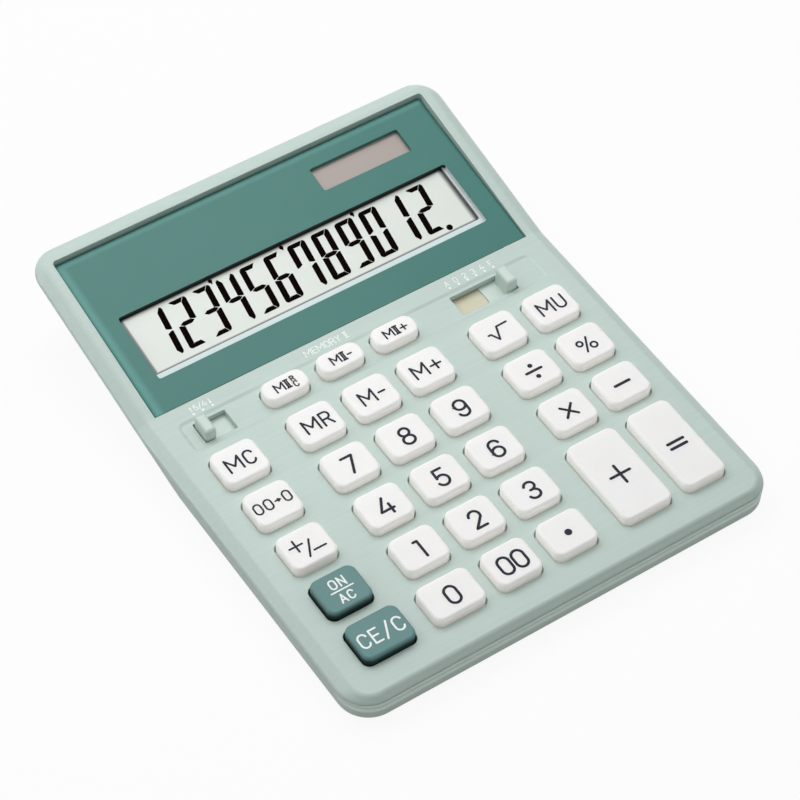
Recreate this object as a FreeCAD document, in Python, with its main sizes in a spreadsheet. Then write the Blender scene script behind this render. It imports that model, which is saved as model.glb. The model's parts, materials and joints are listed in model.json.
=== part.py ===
import FreeCAD, Part
import math
import os
from collections import namedtuple
from types import SimpleNamespace

import Sketcher

# A desktop calculator with a sloped display, 31 sprung keys and two slide switches.
# The origin is on the surface it stands on, under the middle of its outline. X runs to the right,
# Y from the front edge to the back, Z up.

# Driving sizes in millimetres and degrees
SIZES = (
    # Keys: caps and the spaces between them, which set the case's width and depth
    ("key_width", 14.9),
    ("key_depth", 13.3),
    ("memory_key_depth", 8.0),
    ("memory_key_flat", 1.6),
    ("wide_extra", 2.5),
    ("column_space", 4.6),
    ("wide_space", 11.5),
    ("side_space", 10.4),
    ("row_space", 4.76),
    ("memory_space", 6.55),
    ("front_space", 10.95),
    ("crease_space", 12.0),
    ("key_corner", 2.8),
    ("key_rise", 3.1),
    ("key_edge", 0.9),
    ("key_wall", 1.2),
    ("key_gap", 0.35),
    ("hole_sharpness", 0.2),
    ("flange_lip", 0.5),
    ("flange_thickness", 0.8),
    ("flange_gap", 0.25),
    ("stem_diameter", 4.0),
    ("key_travel", 1.5),
    ("press_gap", 0.3),
    # Case
    ("deck_tilt", 2.3),
    ("head_tilt", 11.55),
    ("foot_height", 0.8),
    ("case_corner", 10.0),
    ("flat_corner", 5.0),
    ("head_corner", 9.0),
    ("head_flat_corner", 3.6),
    ("side_bevel", 3.6),
    ("front_bevel", 1.6),
    ("back_bevel", 3.6),
    ("bevel_drop", 2.2),
    ("deck_round", 1.4),
    ("head_round", 3.0),
    ("edge_round", 1.0),
    ("skirt_height", 0.8),
    ("band_lip", 0.7),
    ("band_height", 5.3),
    ("band_lean", 0.25),
    ("band_end_lap", 1.0),
    ("band_step", 0.6),
    ("keyboard_end_slope", 45.0),
    ("keyboard_end_setback", 13.6),
    ("keyboard_taper", 20.0),
    ("head_step", 0.1),
    ("head_taper", 20.0),
    ("wall", 2.0),
    ("floor_thickness", 1.5),
    ("inner_gap", 0.3),
    # Switches in the shallow strip
    ("strip_margin", 1.1),
    ("strip_side", 10.8),
    ("strip_corner", 1.5),
    ("strip_sink", 0.4),
    ("strip_slope", 1.0),
    ("knob_width", 3.7),
    ("knob_depth", 7.4),
    ("knob_rise", 3.8),
    ("knob_corner", 0.9),
    ("knob_edge", 1.2),
    ("knob_gap", 0.3),
    ("slot_corner", 0.3),
    ("slider_lip", 1.3),
    ("slider_thickness", 0.4),
    ("slider_gap", 0.2),
    ("slider_side_gap", 0.3),
    ("card_lip", 1.0),
    ("card_thickness", 0.6),
    ("card_gap", 0.1),
    ("rounding_offset", 2.05),
    ("rounding_travel", 6.7),
    ("rounding_slider", 19.0),
    ("decimal_offset", 2.9),
    ("decimal_travel", 16.2),
    ("decimal_slider", 15.3),
    ("wiper_length", 6.0),
    ("wiper_depth", 2.6),
    ("wiper_metal", 0.3),
    ("wiper_gap", 0.3),
    # Display
    ("panel_tilt", 9.6),
    ("panel_thickness", 1.5),
    ("panel_corner", 1.2),
    ("panel_edge", 1.2),
    ("panel_gap", 0.15),
    ("rim_side", 6.5),
    ("rim_back", 5.7),
    ("tray_wall", 1.2),
    ("tray_floor", 1.6),
    ("window_left", 7.9),
    ("window_right", 7.4),
    ("window_base", 10.8),
    ("window_height", 24.4),
    ("window_corner", 0.8),
    ("bezel_foot", 2.4),
    ("bezel_side", 0.8),
    ("bezel_hidden", 0.8),
    ("bezel_rim", 3.0),
    ("bezel_gap", 0.15),
    ("lcd_ledge", 1.5),
    ("lcd_sink", 0.3),
    ("lcd_thickness", 2.0),
    ("retainer_metal", 1.0),
    ("retainer_inset", 3.0),
    ("retainer_gap", 0.2),
    ("solar_rise", 9.4),
    ("solar_side", 13.4),
    ("solar_top", 7.1),
    ("solar_width", 32.7),
    ("solar_height", 9.2),
    ("solar_overlap", 1.5),
    ("solar_gap", 0.2),
    ("tape_thickness", 0.3),
    ("tape_margin", 1.0),
    # Key mat and board
    ("mat_thickness", 0.5),
    ("mat_inset", 1.5),
    ("dome_foot", 8.0),
    ("dome_crown", 4.4),
    ("dome_wall", 0.6),
    ("dome_gap", 0.1),
    ("board_side", 10.0),
    ("board_front", 6.0),
    ("board_setback", 0.4),
    ("board_thickness", 1.0),
    ("board_clear", 1.4),
    ("ribbon_width", 60.0),
    ("ribbon_thickness", 0.2),
    ("ribbon_foot", 3.5),
    ("processor_diameter", 12.0),
    ("processor_crown", 7.2),
    ("processor_height", 1.6),
    ("processor_setback", 22.0),
    ("capacitor_diameter", 3.0),
    ("capacitor_length", 7.0),
    ("capacitor_offset", 24.0),
    # Fasteners
    ("screw_front", 10.0),
    ("boss_gap", 1.2),
    ("rear_boss_gap", 1.0),
    ("boss_diameter", 5.0),
    ("boss_depth", 3.4),
    ("rear_boss_depth", 8.0),
    ("post_diameter", 6.0),
    ("post_shelf", 1.0),
    ("screw_diameter", 1.9),
    ("screw_head", 4.0),
    ("screw_head_height", 1.4),
    ("screw_bite", 2.6),
    ("screw_slack", 0.3),
    ("board_post_diameter", 4.4),
    ("board_screw_diameter", 1.4),
    ("board_screw_head", 3.4),
    ("board_screw_head_height", 0.7),
    # Battery, wires and feet
    ("battery_diameter", 14.2),
    ("battery_length", 49.0),
    ("battery_nub", 5.5),
    ("battery_nub_length", 1.0),
    ("battery_clear", 1.4),
    ("battery_gap", 0.4),
    ("contact_room", 2.0),
    ("contact_metal", 0.5),
    ("contact_width", 11.0),
    ("contact_height", 11.0),
    ("bay_wall", 1.2),
    ("bay_height", 11.5),
    ("door_margin", 1.4),
    ("door_gap", 0.2),
    ("tongue_length", 6.0),
    ("tongue_reach", 2.0),
    ("tongue_thickness", 1.0),
    ("lead_diameter", 1.0),
    ("lead_bend", 2.0),
    ("lead_gap", 0.3),
    ("lead_tail", 4.0),
    ("solar_lead_pitch", 11.0),
    ("foot_diameter", 11.0),
    ("foot_sink", 0.5),
    ("foot_side", 21.5),
    ("foot_front", 14.4),
    ("foot_bay_gap", 10.8),
)

# How far a cutting shape runs past what it cuts, and the size of a shape that cuts everything beyond it
OVERRUN = 1.0
REACH = 400.0
RIGHT_ANGLE = 90

doc = FreeCAD.newDocument("desktop_calculator")
sheet = doc.addObject("Spreadsheet::Sheet", "Sizes")
for row, (alias, value) in enumerate(SIZES, start=1):
    sheet.set(f"A{row}", alias)
    sheet.set(f"B{row}", str(value))
    sheet.setAlias(f"B{row}", alias)
doc.recompute()


class Size:
    """A length or angle that keeps its formula in the sheet's cells beside its value."""

    def __init__(self, formula, value):
        self.formula = formula
        self.value = value

    def __add__(self, other):
        other = sized(other)
        return Size(f"({self.formula} + {other.formula})", self.value + other.value)

    def __sub__(self, other):
        other = sized(other)
        return Size(f"({self.formula} - {other.formula})", self.value - other.value)

    def __mul__(self, other):
        other = sized(other)
        return Size(f"({self.formula} * {other.formula})", self.value * other.value)

    def __truediv__(self, other):
        other = sized(other)
        return Size(f"({self.formula} / {other.formula})", self.value / other.value)

    def __neg__(self):
        return Size(f"(0 - {self.formula})", -self.value)

    def __radd__(self, other):
        return sized(other) + self

    def __rsub__(self, other):
        return sized(other) - self

    def __rmul__(self, other):
        return sized(other) * self


def sized(number):
    """A plain number as a Size."""
    if isinstance(number, Size):
        return number
    return Size(f"({number})", float(number))


def sin(angle):
    return Size(f"sin({angle.formula})", math.sin(math.radians(angle.value)))


def cos(angle):
    return Size(f"cos({angle.formula})", math.cos(math.radians(angle.value)))


def tan(angle):
    return Size(f"tan({angle.formula})", math.tan(math.radians(angle.value)))


def bind(thing, path, amount):
    """Tie a property of a document object to a formula of the sheet."""
    thing.setExpression(path, sized(amount).formula)


s = SimpleNamespace(**{alias: Size(f"Sizes.{alias}", float(sheet.get(alias))) for alias, value in SIZES})

# Frames: each is turned about X by its tilt, with its origin at y, z of the part
Frame = namedtuple("Frame", "tilt y z")


def seen_from_part(frame, y, z):
    """The part's y and z of a point given in a frame."""
    turn = frame.tilt
    return (frame.y + y * cos(turn) - z * sin(turn), frame.z + y * sin(turn) + z * cos(turn))


# Key places, from the middle of the deck and from its front edge
column_pitch = s.key_width + s.column_space
column_gap = s.key_width + s.wide_space
row_pitch = s.key_depth + s.row_space
inner_column = column_pitch * 1.5
outer_column = inner_column + column_gap
column_x = (
    -outer_column,
    -inner_column,
    -column_pitch / 2,
    column_pitch / 2,
    outer_column - column_pitch,
    outer_column,
)
row_y = tuple(s.key_depth / 2 + s.front_space + row_pitch * (4 - row) for row in range(5))
memory_y = row_y[0] + (s.key_depth + s.memory_key_depth) / 2 + s.memory_space

# Levels below the deck surface
plate_thickness = s.bevel_drop + s.skirt_height
plate_under = -plate_thickness
flange_top = plate_under - s.flange_gap
flange_low = flange_top - s.flange_thickness
mat_top = flange_low - s.key_travel - s.press_gap
board_top = mat_top - s.mat_thickness
board_low = board_top - s.board_thickness
slider_low = plate_under + s.card_gap
slider_top = slider_low + s.slider_thickness
slider_ceiling = slider_top + s.slider_gap
band_low = plate_under - s.band_height

# Levels below the panel's face
tray_top = -s.panel_thickness
tray_low = tray_top - s.tray_floor
lcd_low = tray_low - s.lcd_thickness
retainer_low = lcd_low - s.retainer_metal

# Outline: the keys set the deck, the windows set the panel, and the panel sets the raised head
case_width = (outer_column + s.key_width / 2 + s.side_space) * 2
deck_length = memory_y + s.crease_space
panel_width = case_width - s.rim_side * 2
panel_length = s.window_base + s.window_height + s.solar_rise + s.solar_height + s.solar_top
head_length = panel_length * cos(s.head_tilt - s.panel_tilt) + s.rim_back
head_slope = s.deck_tilt + s.head_tilt
front_height = (
    (s.board_clear - board_low) * cos(s.deck_tilt) + s.floor_thickness - s.board_front * sin(s.deck_tilt)
)
board_back = deck_length - s.board_setback
board_width = case_width - s.board_side * 2

# The outline's depth runs from the front wall's top edge to the head's lower back edge
front_lean = plate_thickness * sin(s.deck_tilt)
outline_depth = (
    deck_length * cos(s.deck_tilt) + head_length * cos(head_slope)
    + plate_thickness * sin(head_slope) - front_lean
)
front_y = -outline_depth / 2 - front_lean

BASE = Frame(sized(0), sized(0), s.foot_height)
DECK = Frame(s.deck_tilt, front_y, s.foot_height + front_height)
HEAD = Frame(head_slope, *seen_from_part(DECK, deck_length, sized(0)))
MITRE = Frame(s.deck_tilt + s.head_tilt / 2, HEAD.y, HEAD.z)
PANEL = Frame(s.deck_tilt + s.panel_tilt, HEAD.y, HEAD.z)
BAND_END = Frame(head_slope + s.band_end_lap - RIGHT_ANGLE, *seen_from_part(DECK, deck_length, plate_under))
KEYBOARD_END = Frame(
    s.deck_tilt - s.keyboard_end_slope,
    *seen_from_part(DECK, deck_length - s.keyboard_end_setback, plate_under),
)


def base_level(y):
    """Height of the case's underside in the deck frame."""
    return -(front_height + y * sin(s.deck_tilt)) / cos(s.deck_tilt)


def place(thing, frame, x=0, y=0, z=0):
    """Set a piece at x, y, z of a frame and turn it with the frame."""
    thing.Placement = FreeCAD.Placement(FreeCAD.Vector(), FreeCAD.Rotation(FreeCAD.Vector(1, 0, 0), 1))
    part_y, part_z = seen_from_part(frame, sized(y), sized(z))
    bind(thing, "Placement.Base.x", x)
    bind(thing, "Placement.Base.y", part_y)
    bind(thing, "Placement.Base.z", part_z)
    bind(thing, "Placement.Rotation.Angle", frame.tilt)


# Primitive pieces and their combinations
def block(name, frame, x, y, z, length, width, height):
    """A box whose low corner is at x, y, z of the frame."""
    box = doc.addObject("Part::Box", name)
    bind(box, "Length", length)
    bind(box, "Width", width)
    bind(box, "Height", height)
    place(box, frame, x, y, z)
    return box


def rod(name, frame, x, y, z, diameter, height):
    """A cylinder standing on x, y, z of the frame."""
    cylinder = doc.addObject("Part::Cylinder", name)
    bind(cylinder, "Radius", diameter / 2)
    bind(cylinder, "Height", height)
    place(cylinder, frame, x, y, z)
    return cylinder


def taper(name, frame, x, y, z, low_diameter, high_diameter, height):
    """A cone standing on x, y, z of the frame."""
    cone = doc.addObject("Part::Cone", name)
    bind(cone, "Radius1", low_diameter / 2)
    bind(cone, "Radius2", high_diameter / 2)
    bind(cone, "Height", height)
    place(cone, frame, x, y, z)
    return cone


def fuse(name, shapes):
    fused = doc.addObject("Part::MultiFuse", name)
    fused.Shapes = shapes
    return fused


def cut(name, base, tools):
    """Take every tool away from the base."""
    result = doc.addObject("Part::Cut", name)
    result.Base = base
    result.Tool = tools[0] if len(tools) == 1 else fuse(f"{name}_tools", tools)
    return result


def common(name, first, second):
    shared = doc.addObject("Part::Common", name)
    shared.Base = first
    shared.Tool = second
    return shared


def group(name, shapes):
    """Separate solids that share one node."""
    compound = doc.addObject("Part::Compound", name)
    compound.Links = shapes
    return compound


# Sketched pieces
Outline = namedtuple("Outline", "x y width depth corner level")


def span(front, back, width, corner, level, x=0):
    """An outline given by its front and back edges."""
    return Outline(sized(x), (front + back) / 2, width, back - front, corner, level)


def new_body(name, frame, x=0, y=0, z=0):
    body = doc.addObject("PartDesign::Body", name)
    place(body, frame, x, y, z)
    return body


def new_sketch(body, name, x, y, level):
    sketch = body.newObject("Sketcher::SketchObject", f"{body.Name}_{name}")
    plane = next(item for item in body.Origin.OriginFeatures if item.Role == "XY_Plane")
    sketch.AttachmentSupport = (plane, [""])
    sketch.MapMode = "FlatFace"
    bind(sketch, "AttachmentOffset.Base.x", x)
    bind(sketch, "AttachmentOffset.Base.y", y)
    bind(sketch, "AttachmentOffset.Base.z", level)
    return sketch


def draw_outline(body, name, outline):
    """A rectangle with round corners: four sides and four tangent arcs about the sketch's origin."""
    sketch = new_sketch(body, name, outline.x, outline.y, outline.level)
    across = outline.width.value / 2
    along = outline.depth.value / 2
    radius = outline.corner.value
    corners = ((1, -1), (1, 1), (-1, 1), (-1, -1))
    for turn, (side, end) in enumerate(corners):
        before = corners[turn - 1]
        start = FreeCAD.Vector(before[0] * across, before[1] * along)
        finish = FreeCAD.Vector(side * across, end * along)
        run = (finish - start).normalize() * radius
        sketch.addGeometry(Part.LineSegment(start + run, finish - run), False)
        middle = FreeCAD.Vector(side * (across - radius), end * (along - radius))
        circle = Part.Circle(middle, FreeCAD.Vector(0, 0, 1), radius)
        first = (turn - 1) * math.pi / 2
        sketch.addGeometry(Part.ArcOfCircle(circle, first, first + math.pi / 2), False)
    for line in (0, 2, 4, 6):
        arc = line + 1
        sketch.addConstraint(Sketcher.Constraint("Tangent", line, 2, arc, 1))
        sketch.addConstraint(Sketcher.Constraint("Tangent", arc, 2, (line + 2) % 8, 1))
        sketch.addConstraint(Sketcher.Constraint("Horizontal" if line in (0, 4) else "Vertical", line))
    for arc in (3, 5, 7):
        sketch.addConstraint(Sketcher.Constraint("Equal", 1, arc))
    sketch.addConstraint(Sketcher.Constraint("Symmetric", 1, 3, 5, 3, -1, 1))
    radius_rule = sketch.addConstraint(Sketcher.Constraint("Radius", 1, radius))
    width_rule = sketch.addConstraint(Sketcher.Constraint("DistanceX", 6, 1, 2, 1, 2 * across))
    depth_rule = sketch.addConstraint(Sketcher.Constraint("DistanceY", 0, 1, 4, 1, 2 * along))
    bind(sketch, f"Constraints[{radius_rule}]", outline.corner)
    bind(sketch, f"Constraints[{width_rule}]", outline.width)
    bind(sketch, f"Constraints[{depth_rule}]", outline.depth)
    return sketch


def draw_circle(body, name, diameter, level):
    sketch = new_sketch(body, name, 0, 0, level)
    circle = Part.Circle(FreeCAD.Vector(), FreeCAD.Vector(0, 0, 1), diameter.value / 2)
    sketch.addGeometry(circle, False)
    sketch.addConstraint(Sketcher.Constraint("Coincident", 0, 3, -1, 1))
    rule = sketch.addConstraint(Sketcher.Constraint("Diameter", 0, diameter.value))
    bind(sketch, f"Constraints[{rule}]", diameter)
    return sketch


def add_pad(body, sketch, height):
    pad = body.newObject("PartDesign::Pad", f"{sketch.Name}_pad")
    pad.Profile = sketch
    bind(pad, "Length", height)
    return pad


def add_pocket(body, sketch, depth, upward):
    """Cut from the sketch, upward or downward, and make sure that something was cut."""
    doc.recompute()
    before = body.Shape.Volume
    pocket = body.newObject("PartDesign::Pocket", f"{sketch.Name}_pocket")
    pocket.Profile = sketch
    pocket.Reversed = upward
    bind(pocket, "Length", depth)
    doc.recompute()
    if body.Shape.Volume >= before:
        raise ValueError(f"{pocket.Name} cuts nothing")
    return pocket


def add_loft(body, first, second):
    loft = body.newObject("PartDesign::AdditiveLoft", f"{first.Name}_loft")
    loft.Profile = first
    loft.Sections = [second]
    loft.Ruled = True
    return loft


def round_edges(body, feature, radius, picks):
    """Round the edges of a feature that the test picks."""
    doc.recompute()
    edges = [f"Edge{index}" for index, edge in enumerate(feature.Shape.Edges, start=1) if picks(edge)]
    fillet = body.newObject("PartDesign::Fillet", f"{feature.Name}_round")
    fillet.Base = (feature, edges)
    bind(fillet, "Radius", radius)
    return fillet


def at_level(level):
    """A test for edges that lie at one level."""
    def picks(edge):
        box = edge.BoundBox
        return abs(box.ZMin - level.value) < 1e-4 and abs(box.ZMax - level.value) < 1e-4
    return picks


def slab(name, frame, outline, height):
    body = new_body(name, frame)
    add_pad(body, draw_outline(body, "outline", outline), height)
    return body


def tapered_slab(name, frame, low, high):
    body = new_body(name, frame)
    add_loft(body, draw_outline(body, "low", low), draw_outline(body, "high", high))
    return body


pieces = []


def keep(thing, label):
    """Name a finished sub-part after its file."""
    thing.Label = label
    pieces.append(thing)
    return thing


Key = namedtuple("Key", "label x y width depth corner")


def plain_key(label, column, row):
    return Key(label, column_x[column], row_y[row], s.key_width, s.key_depth, s.key_corner)


def wide_key(label, column, row, side):
    """A key that reaches further to one side, -1 for left and 1 for right."""
    shifted = column_x[column] + s.wide_extra * (side / 2)
    return Key(label, shifted, row_y[row], s.key_width + s.wide_extra, s.key_depth, s.key_corner)


def tall_key(label, column, extra):
    """A key over the two front rows, with any extra width on its left."""
    middle = (row_y[3] + row_y[4]) / 2
    shifted = column_x[column] - extra / 2
    return Key(label, shifted, middle, s.key_width + extra, s.key_depth + row_pitch, s.key_corner)


def memory_key(label, column):
    corner = (s.memory_key_depth - s.memory_key_flat) / 2
    return Key(label, column_x[column], memory_y, s.key_width, s.memory_key_depth, corner)


KEY_ROWS = (
    ("memory_clear", "memory_recall", "memory_minus", "memory_plus", "square_root", "mark_up"),
    ("backspace", "7", "8", "9", "divide", "percent"),
    ("sign_change", "4", "5", "6", "multiply", "minus"),
    ("on_all_clear", "1", "2", "3"),
    (None, None, "double_zero", "decimal_point"),
)
keys = [
    plain_key(f"key_{name}", column, row)
    for row, names in enumerate(KEY_ROWS)
    for column, name in enumerate(names)
    if name
]
keys.append(wide_key("key_clear_entry", 0, 4, 1))
keys.append(wide_key("key_0", 1, 4, -1))
keys.append(tall_key("key_plus", 4, s.wide_extra))
keys.append(tall_key("key_equals", 5, sized(0)))
keys.append(memory_key("key_memory2_recall_clear", 1))
keys.append(memory_key("key_memory2_minus", 2))
keys.append(memory_key("key_memory2_plus", 3))


def key_cap(key):
    """A hollow cap with a flange that stays under the deck and a stem that presses its dome."""
    body = new_body(key.label, DECK, key.x, key.y)
    centre = sized(0)
    cap = Outline(centre, centre, key.width, key.depth, key.corner, flange_low)
    cap_pad = add_pad(body, draw_outline(body, "cap", cap), s.key_rise - flange_low)
    round_edges(body, cap_pad, s.key_edge, at_level(s.key_rise))
    lip = (s.key_gap + s.flange_lip) * 2
    flange = cap._replace(width=key.width + lip, depth=key.depth + lip)
    add_pad(body, draw_outline(body, "flange", flange), s.flange_thickness)
    inside = s.key_wall * 2
    hollow = cap._replace(
        width=key.width - inside, depth=key.depth - inside, corner=key.corner - s.key_wall
    )
    hollow_depth = s.key_rise - s.key_wall - flange_low
    add_pocket(body, draw_outline(body, "hollow", hollow), hollow_depth, True)
    add_pad(body, draw_circle(body, "stem", s.stem_diameter, flange_low), hollow_depth)
    return keep(body, key.label)


for key in keys:
    key_cap(key)

# Slide switches: both have the same knob, on a slider and a slot of their own length
slot_depth = s.knob_depth + s.knob_gap * 2
card_depth = slot_depth + s.card_lip * 2
wiper_y = memory_y + card_depth / 2 + s.wiper_gap
slider_front = memory_y - slot_depth / 2 - s.slider_lip
slider_back = wiper_y + s.wiper_depth + s.wiper_gap

Switch = namedtuple("Switch", "name slot_x travel rest_x slider")
rounding_slot_x = column_x[0] + s.rounding_offset
decimal_slot_x = (column_x[4] + column_x[5]) / 2 - s.decimal_offset
rounding_rest = rounding_slot_x - s.rounding_travel / 2
decimal_rest = decimal_slot_x + s.decimal_travel / 2
switches = (
    Switch("rounding_switch", rounding_slot_x, s.rounding_travel, rounding_rest, s.rounding_slider),
    Switch("decimal_switch", decimal_slot_x, s.decimal_travel, decimal_rest, s.decimal_slider),
)


def slot_outline(switch, level):
    length = switch.travel + s.knob_width + s.knob_gap * 2
    return Outline(switch.slot_x, memory_y, length, slot_depth, s.slot_corner, level)


def switch_knob(switch):
    """A slider plate under the deck with the finger knob that stands up through the slot."""
    body = new_body(f"{switch.name}_knob", DECK, switch.rest_x, memory_y)
    centre = sized(0)
    knob = Outline(centre, centre, s.knob_width, s.knob_depth, s.knob_corner, slider_low)
    knob_pad = add_pad(body, draw_outline(body, "knob", knob), s.knob_rise - slider_low)
    round_edges(body, knob_pad, s.knob_edge, at_level(s.knob_rise))
    slider = span(slider_front - memory_y, slider_back - memory_y, switch.slider, s.knob_corner, slider_low)
    add_pad(body, draw_outline(body, "slider", slider), slider_top - slider_low)
    return keep(body, f"{switch.name}_knob")


def switch_wiper(switch):
    """A springy metal bridge under the back of the slider, with two feet just over the board."""
    low_x = switch.rest_x - s.wiper_length / 2
    bridge_low = slider_low - s.wiper_metal
    foot_low = board_top + s.wiper_gap
    foot_height = bridge_low - foot_low
    far_x = low_x + s.wiper_length - s.wiper_metal
    label = f"{switch.name}_wiper"
    bridge = block(f"{label}_bridge", DECK, low_x, wiper_y, bridge_low,
                   s.wiper_length, s.wiper_depth, s.wiper_metal)
    near_foot = block(f"{label}_near", DECK, low_x, wiper_y, foot_low,
                      s.wiper_metal, s.wiper_depth, foot_height)
    far_foot = block(f"{label}_far", DECK, far_x, wiper_y, foot_low,
                     s.wiper_metal, s.wiper_depth, foot_height)
    return keep(fuse(label, [bridge, near_foot, far_foot]), label)


for switch in switches:
    switch_knob(switch)
    switch_wiper(switch)


def slider_room(switch):
    """The space in the underside of the deck that a slider moves in."""
    length = switch.travel + switch.slider + s.slider_side_gap * 2
    front = slider_front - s.slider_side_gap
    depth = slider_back + s.slider_side_gap - front
    return block(f"{switch.name}_room", DECK, switch.slot_x - length / 2, front, plate_under - OVERRUN,
                 length, depth, slider_ceiling - plate_under + OVERRUN)


def switch_card(switch):
    """A stiff card against the underside of the deck that closes the slot under its slider."""
    room_length = switch.travel + switch.slider + (s.slider_side_gap + s.card_lip) * 2
    return block(f"{switch.name}_card", DECK, switch.slot_x - room_length / 2, memory_y - card_depth / 2,
                 plate_under - s.card_thickness, room_length, card_depth, s.card_thickness)


keep(group("switch_cards", [switch_card(switch) for switch in switches]), "switch_cards")

# Windows in the display head, in the panel frame
window_width = panel_width - s.window_left - s.window_right
window_x = (s.window_left - s.window_right) / 2
window_low_x = window_x - window_width / 2
window_high_x = window_x + window_width / 2
window_top = s.window_base + s.window_height
solar_x = panel_width / 2 - s.solar_side - s.solar_width / 2
solar_y = panel_length - s.solar_top - s.solar_height / 2
window = span(s.window_base, window_top, window_width, s.window_corner, tray_top, window_x)

# Case screws: four beside the keyboard and two beside the solar cell
screw_x = case_width / 2 - s.wall - s.boss_gap - s.boss_diameter / 2
tape_reach = s.solar_overlap + s.solar_gap + s.tape_margin
rear_screw_x = panel_width / 2 - s.solar_side + tape_reach + s.rear_boss_gap + s.boss_diameter / 2
panel_run = solar_y * cos(s.panel_tilt)
rear_y = deck_length + panel_run
rear_ceiling = panel_run * tan(s.panel_tilt) + tray_low / cos(s.panel_tilt)
Fixing = namedtuple("Fixing", "x y ceiling depth")
fixings = [
    Fixing(screw_x * side, y, plate_under, s.boss_depth)
    for side in (-1, 1)
    for y in (s.screw_front, row_y[0])
]
fixings += [Fixing(rear_screw_x * side, rear_y, rear_ceiling, s.rear_boss_depth) for side in (-1, 1)]

# Board screws: two columns in the wide gaps between the key columns
board_posts = [
    (x, y)
    for x in ((column_x[0] + column_x[1]) / 2, (column_x[3] + column_x[4] - s.wide_extra) / 2)
    for y in ((row_y[3] + row_y[4]) / 2, row_y[2], (row_y[0] + row_y[1]) / 2)
]
board_bore = s.board_screw_diameter + s.screw_slack


def grown(outline, margin):
    """An outline moved out by a margin on all sides."""
    return outline._replace(width=outline.width + margin * 2, depth=outline.depth + margin * 2)


lcd_opening = grown(window, s.bezel_rim)._replace(level=tray_low)
solar_opening = Outline(
    solar_x, solar_y, s.solar_width + s.solar_overlap * 2, s.solar_height + s.solar_overlap * 2,
    s.window_corner, tray_low,
)

# Display glass under its opening, and the battery behind the channel that holds the glass
glass = grown(lcd_opening, s.lcd_ledge)._replace(level=lcd_low)
retainer_depth = glass.depth - s.retainer_inset * 2
retainer_back = glass.y + retainer_depth / 2
battery_y = seen_from_part(PANEL, retainer_back, retainer_low)[0] + s.battery_clear + s.battery_diameter / 2
battery_z = s.floor_thickness + s.battery_gap + s.battery_diameter / 2
battery_half = s.battery_length / 2
bay_half = battery_half + s.contact_room
door_width = s.battery_diameter + s.door_margin * 2

# Feet: two near the front corners and two beside the battery bay
front_foot_x = case_width / 2 - s.foot_side
front_foot_y = front_y + s.foot_front
rear_foot_x = bay_half + s.bay_wall + s.foot_bay_gap + s.foot_diameter / 2
foot_places = [
    (x * side, y)
    for x, y in ((front_foot_x, front_foot_y), (rear_foot_x, battery_y))
    for side in (-1, 1)
]


def bevelled_plate(name, frame, front, back, corner, flat_corner, top_round):
    """A plate whose top edges slope all round, from its wall up to its flat top."""
    body = new_body(name, frame)
    edge = span(front, back, case_width, corner, -s.bevel_drop)
    flat = span(
        front + s.front_bevel, back - s.back_bevel, case_width - s.side_bevel * 2, flat_corner, sized(0)
    )
    skirt = edge._replace(level=plate_under)
    add_loft(body, draw_outline(body, "edge", edge), draw_outline(body, "flat", flat))
    blank = add_pad(body, draw_outline(body, "skirt", skirt), s.skirt_height)
    rounded = round_edges(body, blank, top_round, at_level(sized(0)))
    round_edges(body, rounded, s.edge_round, at_level(-s.bevel_drop))
    return body


recess_width = panel_width + s.panel_gap * 2
recess_back = panel_length + s.panel_gap


def tray_block(name, margin):
    """The block of the tray that carries the panel, grown by a margin."""
    half_width = recess_width / 2 + s.tray_wall + margin
    front = -s.tray_wall - margin
    back = recess_back + s.tray_wall + margin
    low = tray_low - margin
    return block(name, PANEL, -half_width, front, low, half_width * 2, back - front, -low)


def half_space(name, frame, side, shift=0):
    """Everything before (-1) or behind (1) a frame's upright plane, moved along Y by a shift."""
    low_y = shift - REACH if side < 0 else shift
    return block(name, frame, -REACH / 2, low_y, -REACH / 2, REACH, REACH, REACH)


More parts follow.
